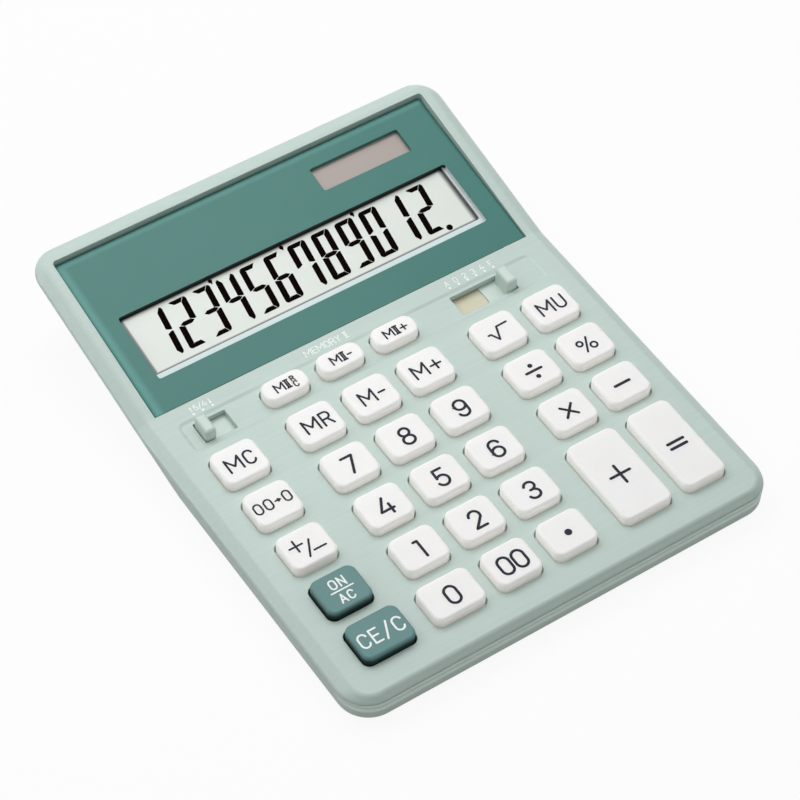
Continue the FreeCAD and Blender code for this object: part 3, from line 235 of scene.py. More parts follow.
LETTERS = {
    "0": (0.6, [stadium(0.6, 1, 0, 0.3)]),
    "1": (0.22, [[(0, 0.97), (0.2, 0.97)], [(0.2, 0.97), (0.2, 0)]]),
    "2": (0.6, [arc(0.3, 0.7, 0.29, 0.3, 170, -28) + [(0.02, 0)], [(0.02, 0), (0.6, 0)]]),
    "3": (0.6, [arc(0.3, 0.76, 0.27, 0.24, 165, -85) + [(0.22, 0.52)],
                arc(0.3, 0.26, 0.3, 0.26, 85, -165)]),
    "4": (0.7, [[(0.42, 1), (0, 0.25)], [(0, 0.25), (0.7, 0.25)], [(0.55, 0.56), (0.55, 0)]]),
    "5": (0.6, [[(0.54, 1), (0.08, 1)], [(0.08, 1), (0.06, 0.52)],
                [(0.06, 0.5)] + arc(0.29, 0.31, 0.31, 0.31, 132, -160)]),
    "6": (0.6, [arc(0.3, 0.72, 0.29, 0.28, 15, 180) + [(0, 0.28)], stadium(0.6, 0.58, 0, 0.29)]),
    "7": (0.58, [[(0, 1), (0.58, 1)], [(0.58, 1), (0.17, 0)]]),
    "8": (0.6, [arc(0.3, 0.76, 0.26, 0.24, 0, 360), arc(0.3, 0.26, 0.3, 0.26, 0, 360)]),
    "9": (0.6, [arc(0.3, 0.28, 0.29, 0.28, 195, 360) + [(0.6, 0.72)], stadium(0.6, 1, 0.42, 0.29)]),
    "A": (0.62, [[(0, 0), (0.31, 1)], [(0.31, 1), (0.62, 0)], [(0.1, 0.32), (0.52, 0.32)]]),
    "C": (0.58, [arc(0.29, 0.7, 0.29, 0.3, 15, 180) + arc(0.29, 0.3, 0.29, 0.3, 180, 345)]),
    "E": (0.5, [[(0.5, 1), (0, 1)], [(0, 1), (0, 0)], [(0, 0), (0.5, 0)], [(0, 0.52), (0.44, 0.52)]]),
    "F": (0.48, [[(0.48, 1), (0, 1)], [(0, 1), (0, 0)], [(0, 0.52), (0.42, 0.52)]]),
    "M": (0.89, [[(0, 0), (0, 1)], [(0, 1), (0.445, 0.34)], [(0.445, 0.34), (0.89, 1)],
                 [(0.89, 1), (0.89, 0)]]),
    "N": (0.58, [[(0, 0), (0, 1)], [(0, 1), (0.58, 0)], [(0.58, 0), (0.58, 1)]]),
    "O": (0.6, [stadium(0.6, 1, 0, 0.3)]),
    "R": (0.6, [[(0, 0), (0, 1)], [(0, 1)] + arc(0.32, 0.74, 0.26, 0.26, 90, -90) + [(0, 0.48)],
                [(0.34, 0.48), (0.6, 0)]]),
    "U": (0.6, [[(0, 1)] + arc(0.3, 0.3, 0.3, 0.3, 180, 360) + [(0.6, 1)]]),
    "Y": (0.6, [[(0, 1), (0.3, 0.46)], [(0.3, 0.46), (0.6, 1)], [(0.3, 0.46), (0.3, 0)]]),
    "/": (0.5, [[(0, -0.1), (0.5, 1.08)]]),
    "II": (0.36, [[(0.08, 0), (0.08, 1)], [(0.28, 0), (0.28, 1)], [(-0.04, 1), (0.4, 1)],
                  [(-0.04, 0), (0.4, 0)]]),
    "-": (0.42, [[(0, 0.46), (0.42, 0.46)]]),
    "+": (0.7, [[(0, 0.46), (0.7, 0.46)], [(0.35, 0.11), (0.35, 0.81)]]),
    ">": (0.42, [[(0, 0.5), (0.42, 0.5)], [(0.24, 0.62), (0.42, 0.5)], [(0.42, 0.5), (0.24, 0.38)]]),
    "^": (0.24, [[(0.12, 0), (0.12, 1)], [(0, 0.7), (0.12, 1)], [(0.12, 1), (0.24, 0.7)]]),
    "v": (0.24, [[(0.12, 0), (0.12, 1)], [(0, 0.3), (0.12, 0)], [(0.12, 0), (0.24, 0.3)]]),
}


def write(ink, letters, x, y, height, width, gap=0):
    """Letters in a row, centred on x, y."""
    advances = [LETTERS[letter][0] * height for letter in letters]
    left = x - (sum(advances) + gap * (len(letters) - 1)) / 2
    for letter, advance in zip(letters, advances):
        for points in LETTERS[letter][1]:
            ink.stroke([(left + across * height, y + (up - 0.5) * height) for across, up in points], width)
        left += advance + gap


# Materials
NOISE_LOW, NOISE_HIGH = 0.25, 0.75
RAMP_START, RAMP_END = 0.3, 0.7
CLOUD_DETAIL = 3.0
GRAIN_DETAIL = 2.0
ROUGH_CHANGE = 0.05
BEVEL_SAMPLES = 6
EVEN = (1, 1, 1)
BRUSHED = (0.02, 1.0, 1.0)
DRAWN = (0.2, 6.0, 6.0)
DRAWN_SCALE = 1.0
DRAWN_DARK, DRAWN_LIGHT = 0.9, 1.05
DRAWN_ROUGH_CHANGE = 0.06
DRAWN_RELIEF = 0.003
LYING, STANDING = 0.8, 0.3


def material(name):
    made = bpy.data.materials.new(name)
    made.use_nodes = True
    return made, made.node_tree, made.node_tree.nodes["Principled BSDF"]


def linear(*rgb):
    """A colour written as it shows on a screen, 0 to 255, as the shader's own numbers by the sRGB curve."""
    steps = [value / 255 for value in rgb]
    return tuple(v / 12.92 if v <= 0.04045 else ((v + 0.055) / 1.055) ** 2.4 for v in steps) + (1.0,)


def shaded(colour, share):
    return tuple(min(1.0, value * share) for value in colour[:3]) + (1.0,)


def noise_at(tree, scale, detail, stretch):
    """Noise in the object's own metres, scaled so that 1 is one wave in a millimetre."""
    coordinates = tree.nodes.new("ShaderNodeTexCoord")
    mapping = tree.nodes.new("ShaderNodeMapping")
    mapping.inputs["Scale"].default_value = [scale * part / MM for part in stretch]
    noise = tree.nodes.new("ShaderNodeTexNoise")
    noise.inputs["Scale"].default_value = 1.0
    noise.inputs["Detail"].default_value = detail
    tree.links.new(coordinates.outputs["Object"], mapping.inputs["Vector"])
    tree.links.new(mapping.outputs["Vector"], noise.inputs["Vector"])
    return noise.outputs["Fac"]


def ramp(tree, fac, low, high):
    """A colour that runs from low to high with a noise."""
    steps = tree.nodes.new("ShaderNodeValToRGB")
    steps.color_ramp.elements[0].position = RAMP_START
    steps.color_ramp.elements[1].position = RAMP_END
    steps.color_ramp.elements[0].color = low
    steps.color_ramp.elements[1].color = high
    tree.links.new(fac, steps.inputs["Fac"])
    return steps.outputs["Color"]


def spread(tree, fac, middle, change):
    """A number that runs with a noise from a change below its middle to the same above."""
    run = tree.nodes.new("ShaderNodeMapRange")
    run.inputs["From Min"].default_value = NOISE_LOW
    run.inputs["From Max"].default_value = NOISE_HIGH
    run.inputs["To Min"].default_value = middle - change
    run.inputs["To Max"].default_value = middle + change
    tree.links.new(fac, run.inputs["Value"])
    return run.outputs["Result"]


def bumped(tree, shader, fac, height):
    """Relief of a height in millimetres."""
    relief = tree.nodes.new("ShaderNodeBump")
    relief.inputs["Distance"].default_value = height * MM
    relief.inputs["Strength"].default_value = 1.0
    tree.links.new(fac, relief.inputs["Height"])
    tree.links.new(relief.outputs["Normal"], shader.inputs["Normal"])
    return relief


def plastic(name, colour, rough, change=0.03, grain=3.0, relief=0.006, stretch=EVEN, cloud=0.05,
            gloss=0.5, edge=0.0):
    """Moulded plastic: slow changes of tone, a fine grain, uneven gloss and edges eased by a few tenths."""
    made, tree, shader = material(name)
    tone = noise_at(tree, cloud, CLOUD_DETAIL, stretch)
    colours = ramp(tree, tone, shaded(colour, 1 - change), shaded(colour, 1 + change))
    tree.links.new(colours, shader.inputs["Base Color"])
    fine = noise_at(tree, grain, GRAIN_DETAIL, stretch)
    tree.links.new(spread(tree, fine, rough, ROUGH_CHANGE), shader.inputs["Roughness"])
    shader.inputs["Specular IOR Level"].default_value = gloss
    surface = bumped(tree, shader, fine, relief)
    if edge:
        eased = tree.nodes.new("ShaderNodeBevel")
        eased.samples = BEVEL_SAMPLES
        eased.inputs["Radius"].default_value = edge * MM
        tree.links.new(eased.outputs["Normal"], surface.inputs["Normal"])
    return made


def metal(name, colour, rough):
    """Worked metal with fine drawn lines."""
    made, tree, shader = material(name)
    lines = noise_at(tree, DRAWN_SCALE, CLOUD_DETAIL, DRAWN)
    colours = ramp(tree, lines, shaded(colour, DRAWN_DARK), shaded(colour, DRAWN_LIGHT))
    tree.links.new(colours, shader.inputs["Base Color"])
    tree.links.new(spread(tree, lines, rough, DRAWN_ROUGH_CHANGE), shader.inputs["Roughness"])
    shader.inputs["Metallic"].default_value = 1.0
    bumped(tree, shader, lines, DRAWN_RELIEF)
    return made


def plane_axes(tree, tilt):
    """A point's place along the axes of a tilted plane, in millimetres."""
    coordinates = tree.nodes.new("ShaderNodeTexCoord")
    turn = tree.nodes.new("ShaderNodeMapping")
    turn.inputs["Rotation"].default_value = (-tilt, 0, 0)
    turn.inputs["Scale"].default_value = (1 / MM, 1 / MM, 1 / MM)
    split = tree.nodes.new("ShaderNodeSeparateXYZ")
    tree.links.new(coordinates.outputs["Object"], turn.inputs["Vector"])
    tree.links.new(turn.outputs["Vector"], split.inputs["Vector"])
    return split.outputs["X"], split.outputs["Y"], split.outputs["Z"]


def fade(tree, value, start, end, most=1.0):
    """Nothing at the start, and a share at the end and beyond."""
    run = tree.nodes.new("ShaderNodeMapRange")
    run.interpolation_type = "SMOOTHSTEP"
    run.inputs["From Min"].default_value = start
    run.inputs["From Max"].default_value = end
    run.inputs["To Max"].default_value = most
    tree.links.new(value, run.inputs["Value"])
    return run.outputs["Result"]


def joined(tree, operation, *masks):
    """Masks that are multiplied, or of which the largest counts."""
    result = masks[0]
    for mask in masks[1:]:
        step = tree.nodes.new("ShaderNodeMath")
        step.operation = operation
        tree.links.new(result, step.inputs[0])
        tree.links.new(mask, step.inputs[1])
        result = step.outputs["Value"]
    return result


def upright_walls(tree, tilt, most=1.0):
    """A share on walls that stand on a tilted plane, and nothing on faces along it."""
    geometry = tree.nodes.new("ShaderNodeNewGeometry")
    along = tree.nodes.new("ShaderNodeVectorMath")
    along.operation = "DOT_PRODUCT"
    along.inputs[1].default_value = tilted(tilt).to_3x3() @ Vector((0, 0, 1))
    tree.links.new(geometry.outputs["Normal"], along.inputs[0])
    return fade(tree, along.outputs["Value"], LYING, STANDING, most)


def tint(slot, colour, mask):
    """Lay a colour over a slot's look where a mask is one."""
    tree = looks[slot].node_tree
    shader = tree.nodes["Principled BSDF"]
    below = shader.inputs["Base Color"].links[0].from_socket
    mix = tree.nodes.new("ShaderNodeMixRGB")
    mix.inputs["Color2"].default_value = colour
    tree.links.new(mask, mix.inputs["Fac"])
    tree.links.new(below, mix.inputs["Color1"])
    tree.links.new(mix.outputs["Color"], shader.inputs["Base Color"])


looks = {
    "case_upper": plastic("case_upper_plastic", linear(190, 207, 201), rough=0.46, change=0.02, grain=4.0,
                          relief=0.004, stretch=BRUSHED, cloud=0.9, edge=0.3),
    "case_lower": plastic("case_lower_plastic", linear(178, 194, 187), rough=0.55, change=0.025,
                          relief=0.012, edge=0.3),
    "panel_teal": plastic("panel_teal_acrylic", linear(64, 121, 114), rough=0.34, change=0.02, grain=1.0,
                          relief=0.0004, gloss=0.25, edge=0.25),
    "bezel_pale": plastic("bezel_plastic", linear(214, 230, 229), rough=0.4),
    "lcd_glass": plastic("lcd_surface", linear(222, 228, 221), rough=0.32, change=0.012, grain=5.0,
                         relief=0.002),
    "retainer": plastic("retainer_plastic", linear(205, 205, 200), rough=0.5),
    "ribbon": plastic("ribbon_film", linear(190, 150, 80), rough=0.35, change=0.08, grain=1.0, relief=0.01,
                      stretch=(6, 0.2, 0.2)),
    "solar_cell": plastic("solar_silicon", linear(166, 155, 150), rough=0.36, change=0.012, grain=8.0,
                          relief=0.0002, stretch=(0.4, 1, 1), cloud=0.1),
    "tape": plastic("tape_cloth", linear(40, 40, 42), rough=0.8, change=0.12, grain=2.0, relief=0.03),
    "silicone": plastic("silicone_rubber", linear(214, 216, 212), rough=0.6, grain=1.5, relief=0.01),
    "board": plastic("board_phenolic", linear(214, 203, 168), rough=0.5, change=0.05, grain=1.2),
    "resin": plastic("potting_resin", linear(24, 24, 26), rough=0.3, change=0.2, grain=0.8, relief=0.02),
    "capacitor": plastic("capacitor_sleeve", linear(40, 60, 120), rough=0.3),
    "knob": plastic("knob_plastic", linear(203, 219, 212), rough=0.4, change=0.02, relief=0.004, edge=0.25),
    "card": plastic("switch_card", linear(214, 210, 185), rough=0.7, change=0.04, grain=2.0, relief=0.01),
    "wiper": metal("wiper_brass", linear(205, 165, 90), rough=0.3),
    "screw_steel": metal("screw_steel", linear(150, 150, 152), rough=0.35),
    "battery": plastic("battery_sleeve", linear(70, 74, 82), rough=0.3, change=0.08),
    "contact_steel": metal("contact_steel", linear(190, 192, 196), rough=0.28),
    "lead_sheath": plastic("lead_sheath", linear(150, 40, 36), rough=0.45, change=0.06),
    "foot_rubber": plastic("foot_rubber", linear(70, 74, 74), rough=0.75, change=0.1, grain=2.5, relief=0.03),
    "key_white": plastic("key_white_plastic", linear(255, 251, 249), rough=0.42, change=0.012, grain=4.0,
                         relief=0.004),
    "key_teal": plastic("key_teal_plastic", linear(102, 142, 141), rough=0.4, grain=4.0, relief=0.004,
                        gloss=0.2),
}
INK = dict(grain=6.0, relief=0.001, cloud=1.0)
ink_dark = plastic("ink_dark", linear(45, 45, 56), rough=0.5, change=0.06, gloss=0.1, **INK)
ink_white = plastic("ink_white", linear(242, 246, 245), rough=0.5, change=0.02, **INK)
ink_display = plastic("ink_display", linear(16, 9, 8), rough=0.6, change=0.08, gloss=0.0, **INK)

# Levels and edges that set where the tones below begin and end
WINDOW_LEFT_MARGIN = 7.9
WINDOW_RIGHT_MARGIN = 7.4
WINDOW_FRONT_MARGIN = 10.8
WINDOW_DEPTH = 24.4

row_low, row_high = reach("key_memory_clear", DECK_TILT)
key_top = row_high.z
deck_level = key_top - KEY_RISE
band_top = deck_level - PLATE_THICKNESS
panel_low, panel_high = top_face("display_panel", PANEL_TILT)
glass_low, glass_high = top_face("lcd_glass", PANEL_TILT)
edge_low, edge_high = reach("display_panel", PANEL_TILT)
window_left = edge_low.x + WINDOW_LEFT_MARGIN
window_right = edge_high.x - WINDOW_RIGHT_MARGIN
window_back = edge_low.y + WINDOW_FRONT_MARGIN + WINDOW_DEPTH

# The white caps let some light through, and their upright sides get a painted warm glow by emission, which
# keeps these sides bright and warm
CAP_SUBSURFACE = 0.5
CAP_SUBSURFACE_RADIUS = (1.0, 0.8, 0.7)
CAP_SUBSURFACE_SCALE = 3
CAP_PAINTED_GLOW = (1.0, 0.9, 0.8, 1.0)
CAP_PAINTED_GLOW_STRENGTH = 0.12


def light_white_caps():
    tree = looks["key_white"].node_tree
    shader = tree.nodes["Principled BSDF"]
    shader.inputs["Subsurface Weight"].default_value = CAP_SUBSURFACE
    shader.inputs["Subsurface Radius"].default_value = CAP_SUBSURFACE_RADIUS
    shader.inputs["Subsurface Scale"].default_value = CAP_SUBSURFACE_SCALE * MM
    # Painted glow on the caps' upright sides, given as emission
    shader.inputs["Emission Color"].default_value = CAP_PAINTED_GLOW
    tree.links.new(upright_walls(tree, DECK_TILT, CAP_PAINTED_GLOW_STRENGTH), shader.inputs["Emission Strength"])


# The teal caps get deeper in tone from just under their tops to just over the deck
CAP_FOOT = linear(30, 54, 51)
CAP_FOOT_START = 0.1
CAP_FOOT_END = 1.2


def deepen_teal_caps():
    tree = looks["key_teal"].node_tree
    height = plane_axes(tree, DECK_TILT)[2]
    tint("key_teal", CAP_FOOT, fade(tree, height, key_top - CAP_FOOT_START, deck_level + CAP_FOOT_END))


# The lower case gets a painted highlight along the front of its rim: a pale stripe, given by the depths under
# the rim's top where it starts, is full, begins to end and ends, and a weaker painted highlight on the shaded
# ledge over it. Both fade out backwards
RIM_PAINTED_HIGHLIGHT = linear(212, 228, 220)
STRIPE_DEPTHS = (3.2, 1.9, 1.5, 0.4)
LEDGE_DEPTHS = (0.8, 0.2)
LEDGE_SHARE = 0.5
RIM_FADE_OUT = 14
RIM_FULL = 4


def pale_front_rim():
    tree = looks["case_lower"].node_tree
    _, y, z = plane_axes(tree, DECK_TILT)
    front = reach("lower_case", DECK_TILT)[0].y
    start, full, ending, end = [band_top - depth for depth in STRIPE_DEPTHS]
    stripe = joined(tree, "MULTIPLY", fade(tree, z, start, full), fade(tree, z, end, ending))
    ledge = fade(tree, z, *[band_top - depth for depth in LEDGE_DEPTHS], LEDGE_SHARE)
    near_front = fade(tree, y, front + RIM_FADE_OUT, front + RIM_FULL)
    rim = joined(tree, "MULTIPLY", joined(tree, "MAXIMUM", stripe, ledge), near_front)
    # Painted highlight along the rim's front and on its shaded ledge
    tint("case_lower", RIM_PAINTED_HIGHLIGHT, rim)


# The panel gets a painted highlight along its left and back edges. Its display window gets a painted
# highlight on its right wall and a painted shade, near black, on its back one
PANEL_EDGE_HIGHLIGHT = linear(96, 160, 152)
PANEL_HIGHLIGHT_SHARE = 0.6
PANEL_HIGHLIGHT_FULL = 0.6
PANEL_HIGHLIGHT_LEFT = 3.2
PANEL_HIGHLIGHT_BACK = 2.4
RIGHT_WALL_HIGHLIGHT = linear(214, 221, 223)
BACK_WALL_SHADE = linear(26, 36, 36)
WALL_OUTER, WALL_INNER = 1.0, 0.8
CORNER_OUTER, CORNER_INNER = 0.4, 0.2


def tone_panel():
    tree = looks["panel_teal"].node_tree
    x, y, _ = plane_axes(tree, PANEL_TILT)
    left, back = panel_low.x, panel_high.y
    edge_highlight = joined(
        tree, "MAXIMUM",
        fade(tree, x, left + PANEL_HIGHLIGHT_LEFT, left + PANEL_HIGHLIGHT_FULL, PANEL_HIGHLIGHT_SHARE),
        fade(tree, y, back - PANEL_HIGHLIGHT_BACK, back - PANEL_HIGHLIGHT_FULL, PANEL_HIGHLIGHT_SHARE),
    )
    # Painted highlight along the panel's left and back edges
    tint("panel_teal", PANEL_EDGE_HIGHLIGHT, edge_highlight)
    walls = upright_walls(tree, PANEL_TILT)
    up_to_right = fade(tree, x, window_right + WALL_OUTER, window_right + WALL_INNER)
    lit_right_wall = joined(
        tree, "MULTIPLY", walls, up_to_right,
        fade(tree, x, window_right - WALL_OUTER, window_right - WALL_INNER),
        fade(tree, y, window_back + CORNER_OUTER, window_back + CORNER_INNER),
    )
    shaded_back_wall = joined(
        tree, "MULTIPLY", walls, up_to_right,
        fade(tree, y, window_back - WALL_OUTER, window_back - WALL_INNER),
        fade(tree, y, window_back + WALL_OUTER, window_back + WALL_INNER),
    )
    # Painted highlight on the window's right wall and painted shade on its back wall
    tint("panel_teal", RIGHT_WALL_HIGHLIGHT, lit_right_wall)
    tint("panel_teal", BACK_WALL_SHADE, shaded_back_wall)


# The display glass has a printed grey border with a soft painted shade along its left and front edges, and a
# printed black border with a painted shadow along its right and back ones.
# The left tone is set off by a share of the panel's height over the glass. Each pair of distances from an
# edge is where its tone starts and where it is full
GLASS_BORDER_AND_SHADE_GREY = linear(104, 104, 106)
GLASS_BORDER_AND_SHADOW_BLACK = linear(16, 16, 18)
LEFT_EDGE_COVER = 0.36
GLASS_LEFT = (1.1, 0.3)
GLASS_FRONT = (0.9, 0.2)
GLASS_RIGHT = (2.3, 0.4)
GLASS_BACK = (0.9, 0.05)
BEZEL_LEFT_SHADE = linear(104, 108, 110)
BEZEL_RIGHT_HIGHLIGHT = linear(206, 213, 215)
BEZEL_FADE = 0.2


def edge_fade(tree, value, edge, inward, distances):
    """A tone along an edge, by the distances from it at which the tone starts and is full."""
    return fade(tree, value, *[edge + inward * distance for distance in distances])


def tone_display():
    tree = looks["lcd_glass"].node_tree
    x, y, _ = plane_axes(tree, PANEL_TILT)
    open_left = window_left + (panel_high.z - glass_high.z) * LEFT_EDGE_COVER
    # Printed grey border with painted shade at the left and front edges
    tint("lcd_glass", GLASS_BORDER_AND_SHADE_GREY, joined(
        tree, "MAXIMUM", edge_fade(tree, x, open_left, 1, GLASS_LEFT),
        edge_fade(tree, y, glass_low.y, 1, GLASS_FRONT),
    ))
    # Printed black border with painted shadow at the right and back edges
    tint("lcd_glass", GLASS_BORDER_AND_SHADOW_BLACK, joined(
        tree, "MAXIMUM", edge_fade(tree, x, glass_high.x, -1, GLASS_RIGHT),
        edge_fade(tree, y, window_back, -1, GLASS_BACK),
    ))
    tree = looks["bezel_pale"].node_tree
    x = plane_axes(tree, PANEL_TILT)[0]
    # Painted shade at the bezel's left edge and a painted highlight at its right edge
    tint("bezel_pale", BEZEL_LEFT_SHADE, edge_fade(tree, x, glass_low.x, 1, (BEZEL_FADE, 0)))
    tint("bezel_pale", BEZEL_RIGHT_HIGHLIGHT, edge_fade(tree, x, glass_high.x, -1, (BEZEL_FADE, 0)))


light_white_caps()
deepen_teal_caps()
pale_front_rim()
tone_panel()
tone_display()

slot_of = {part["node"]: part["material_slot"] for part in frame["record"]["subparts"]}
for name, node in nodes.items():
    node.data.materials.clear()
    node.data.materials.append(looks[slot_of[name]])


# Legends on the keys, as steps of drawing, with places measured from the middle of each key's top
def line(*points, width):
    return lambda ink: ink.stroke(points, width)


def circle(x, y, radius, width):
    return line(*arc(x, y, radius, radius, 0, 360), width=width)


def dot(x, y, radius):
    return lambda ink: ink.disc(x, y, radius)


def words(letters, x, y, **style):
    return lambda ink: write(ink, letters, x, y, **style)


def cross(x, y, half, width):
    return [
        line((x - half, y), (x + half, y), width=width),
        line((x, y - half), (x, y + half), width=width),
    ]


def legs(corners, width):
    return [line(start, end, width=width) for start, end in zip(corners, corners[1:])]


def digit_legend(digits):
    return [words(digits, 0.1, -0.55, height=6.1, width=0.86, gap=1.25)]


def letter_legend(letters, x=0.1):
    return [words(letters, x, -0.25, height=4.9, width=0.68, gap=1.6)]


def small_legend(letters, x=0.3):
    return [words(letters, x, -0.2, height=3.1, width=0.54, gap=0.85)]


legends = {f"key_{digit}": digit_legend(str(digit)) for digit in range(10)}
legends.update({
    "key_double_zero": digit_legend("00"),
    "key_decimal_point": [dot(0.1, -0.5, radius=1.15)],
    "key_plus": cross(0.0, -0.6, half=3.4, width=0.92),
    "key_minus": [line((-2.6, -0.5), (2.5, -0.5), width=1.0)],
    "key_multiply": [
        line((-2.0, 1.6), (2.0, -2.6), width=0.85),
        line((-2.0, -2.6), (2.0, 1.6), width=0.85),
    ],
    "key_divide": [
        line((-2.65, -0.42), (2.65, -0.42), width=0.92),
        dot(0.05, 1.75, radius=0.78),
        dot(0.05, -2.9, radius=0.78),
    ],
    "key_equals": [
        line((-2.75, 0.4), (2.75, 0.4), width=1.0),
        line((-2.75, -1.6), (2.75, -1.6), width=1.0),
    ],
    "key_percent": [
        circle(-1.95, 0.55, radius=0.95, width=0.66),
        circle(1.75, -1.8, radius=1.05, width=0.66),
        line((1.2, 2.0), (-1.45, -3.2), width=0.66),
    ],
    "key_square_root": legs(
        [(-3.75, -0.1), (-2.85, -0.1), (-1.4, -3.0), (0.35, 1.8), (4.0, 1.95)], width=0.68
    ),
    "key_mark_up": letter_legend("MU", 0.0),
    "key_memory_clear": letter_legend("MC"),
    "key_memory_recall": letter_legend("MR", 0.35),
    "key_memory_minus": letter_legend("M-", 0.2),
    "key_memory_plus": letter_legend("M+"),
    "key_memory2_recall_clear": small_legend(["M", "II"], -1.1) + [
        words("R", 3.0, 0.85, height=1.75, width=0.44),
        words("C", 3.0, -1.5, height=2.1, width=0.44),
    ],
    "key_memory2_minus": small_legend(["M", "II", "-"]),
    "key_memory2_plus": small_legend(["M", "II", "+"]),
    "key_sign_change": cross(-2.95, 1.2, half=2.1, width=0.64) + [
        line((1.5, 1.55), (-1.2, -3.9), width=0.64),
        line((1.0, -2.55), (4.9, -2.55), width=0.64),
    ],
    "key_backspace": [words("00>0", -0.1, 0.0, height=3.75, width=0.56, gap=1.2)],
    "key_on_all_clear": [
        words("ON", 0.05, 2.35, height=3.1, width=0.52, gap=1.1),
        line((-3.4, -0.25), (3.8, -0.25), width=0.5),
        words("AC", 0.05, -3.0, height=2.9, width=0.52, gap=1.0),
    ],
    "key_clear_entry": [words("CE/C", 0.0, -0.45, height=4.65, width=0.62, gap=1.35)],
})
for key, steps in legends.items():
    legend = Print()
    for draw in steps:
        draw(legend)
    colour = ink_white if slot_of[key] == "key_teal" else ink_dark
    legend.finish(f"legend_{key.removeprefix('key_')}", top_plane(key, DECK_TILT), colour, key)

# Marks over the switches, on the deck, with y measured from the middle of the row of keys that starts at MC
MARK_Y = 26.1
DOT_Y = 24.2
DOT_RADIUS = 0.42
MARK = dict(height=1.95, width=0.26)
FRACTION_GAP = 0.35
ROUNDING_MARKS = {"^": -56.7, "5/4": -53.5, "v": -50.2}
DECIMAL_MARKS = {"A": 35.0, "0": 38.3, "2": 41.55, "3": 44.8, "4": 48.0, "F": 51.2}
MEMORY_X = -10.5
MEMORY_NUMBER_X = -2.25
MEMORY_Y = MARK_Y - 0.3
MEMORY_HEIGHT = 2.4

marks = Print()
for x in ROUNDING_MARKS.values():
    marks.disc(x, DOT_Y, DOT_RADIUS)
for letters, x in ROUNDING_MARKS.items():
    write(marks, letters, x, MARK_Y, gap=FRACTION_GAP, **MARK)
for letter, x in DECIMAL_MARKS.items():
    marks.disc(x, DOT_Y, DOT_RADIUS)
    write(marks, letter, x, MARK_Y, **MARK)
write(marks, "MEMORY", MEMORY_X, MEMORY_Y, MEMORY_HEIGHT, width=0.27, gap=0.55)
write(marks, ["II"], MEMORY_NUMBER_X, MEMORY_Y, MEMORY_HEIGHT, width=0.3)
marks_plane = plane_at(DECK_TILT, 0, (row_low.y + row_high.y) / 2, deck_level)
marks.finish("switch_marks", marks_plane, ink_white, "case")

# Display digits, measured on the glass. From left to right they spread, sink and grow a little
SHEET_FRONT = 6.3
SHOWN = "123456789012"
SEGMENTS = {
    "0": "abcdef", "1": "bc", "2": "abdeg", "3": "abcdg", "4": "bcfg",
    "5": "acdfg", "6": "acdefg", "7": "abcf", "8": "abcdefg", "9": "abcdfg",
}
SEGMENT_HEIGHT = 17.45
SEGMENT_WIDTH = 6.45
UPRIGHT = 2.0
LEVEL = 1.55
SPLIT = 0.1
MIDDLE_HALF = 0.75
MIDDLE_LAP = 0.1
SLANT = 0.112
FIRST_RIGHT = -44.97
DIGIT_PITCH = 8.41
PITCH_GROWTH = 0.0196
DIGIT_TOP = 33.58
TOP_FALL = 0.0125
HEIGHT_GROWTH = 0.033
COMMA_PLACES = (2, 5, 8)
COMMA_RIGHT = 0.85
COMMA_RISE = 0.57
COMMA_RADIUS = 0.68
COMMA_TAIL = ((-0.1, -0.6), (-0.1, -1.2), (0.3, -1.05), (0.66, 0))
POINT_LEFT = 1.2
POINT_Y = 15.2
POINT_RADIUS = 1.04


def segment_outlines(height):
    """The outlines of the seven segments, from the lower left corner of a digit."""
    width = SEGMENT_WIDTH
    inside = width - UPRIGHT
    middle = height / 2
    upper_right = [
        (inside, middle + 0.9), (width - 0.6, middle + 0.25), (width, middle + 0.3), (width, height - 0.95),
        (width - 0.25, height - 0.35), (width - 0.8, height), (width - 0.8 - SPLIT, height),
        (inside, height - LEVEL - SPLIT),
    ]
    top = [
        (UPRIGHT + SPLIT, height - LEVEL), (inside - SPLIT, height - LEVEL), (width - 0.95 - SPLIT, height),
        (0.95, height), (0.55, height - 0.25),
    ]
    bar = [
        (MIDDLE_HALF, middle), (UPRIGHT - MIDDLE_LAP, middle - MIDDLE_HALF),
        (inside + MIDDLE_LAP, middle - MIDDLE_HALF), (width - MIDDLE_HALF, middle),
        (inside + MIDDLE_LAP, middle + MIDDLE_HALF), (UPRIGHT - MIDDLE_LAP, middle + MIDDLE_HALF),
    ]

    def flipped(outline, across, up):
        turned = [(width - x if across else x, height - y if up else y) for x, y in outline]
        return turned[::-1] if across != up else turned

    return {
        "a": top, "b": upper_right, "c": flipped(upper_right, False, True), "d": flipped(top, False, True),
        "e": flipped(upper_right, True, True), "f": flipped(upper_right, True, False), "g": bar,
    }


def digit_right(place):
    """The right edge of a digit's top."""
    return FIRST_RIGHT + DIGIT_PITCH * place + PITCH_GROWTH * place * place


digits = Print()
for place, digit in enumerate(SHOWN):
    height = SEGMENT_HEIGHT + HEIGHT_GROWTH * place
    left = digit_right(place) - SEGMENT_WIDTH
    bottom = DIGIT_TOP - TOP_FALL * place - height
    outlines = segment_outlines(height)
    for segment in SEGMENTS[digit]:
        digits.area([(left + x - SLANT * (height - y), bottom + y) for x, y in outlines[segment]])
for place in COMMA_PLACES:
    comma_x = digit_right(place) + COMMA_RIGHT
    comma_y = DIGIT_TOP + COMMA_RISE
    digits.disc(comma_x, comma_y, COMMA_RADIUS)
    digits.area([(comma_x + across, comma_y + up) for across, up in COMMA_TAIL])
digits.disc(digit_right(len(SHOWN) - 1) - POINT_LEFT, POINT_Y, POINT_RADIUS)
sheet_low, sheet_high = reach("lcd_glass", PANEL_TILT)
glass_plane = plane_at(PANEL_TILT, 0, sheet_low.y - SHEET_FRONT, sheet_high.z)
digits.finish("display_digits", glass_plane, ink_display, "case")

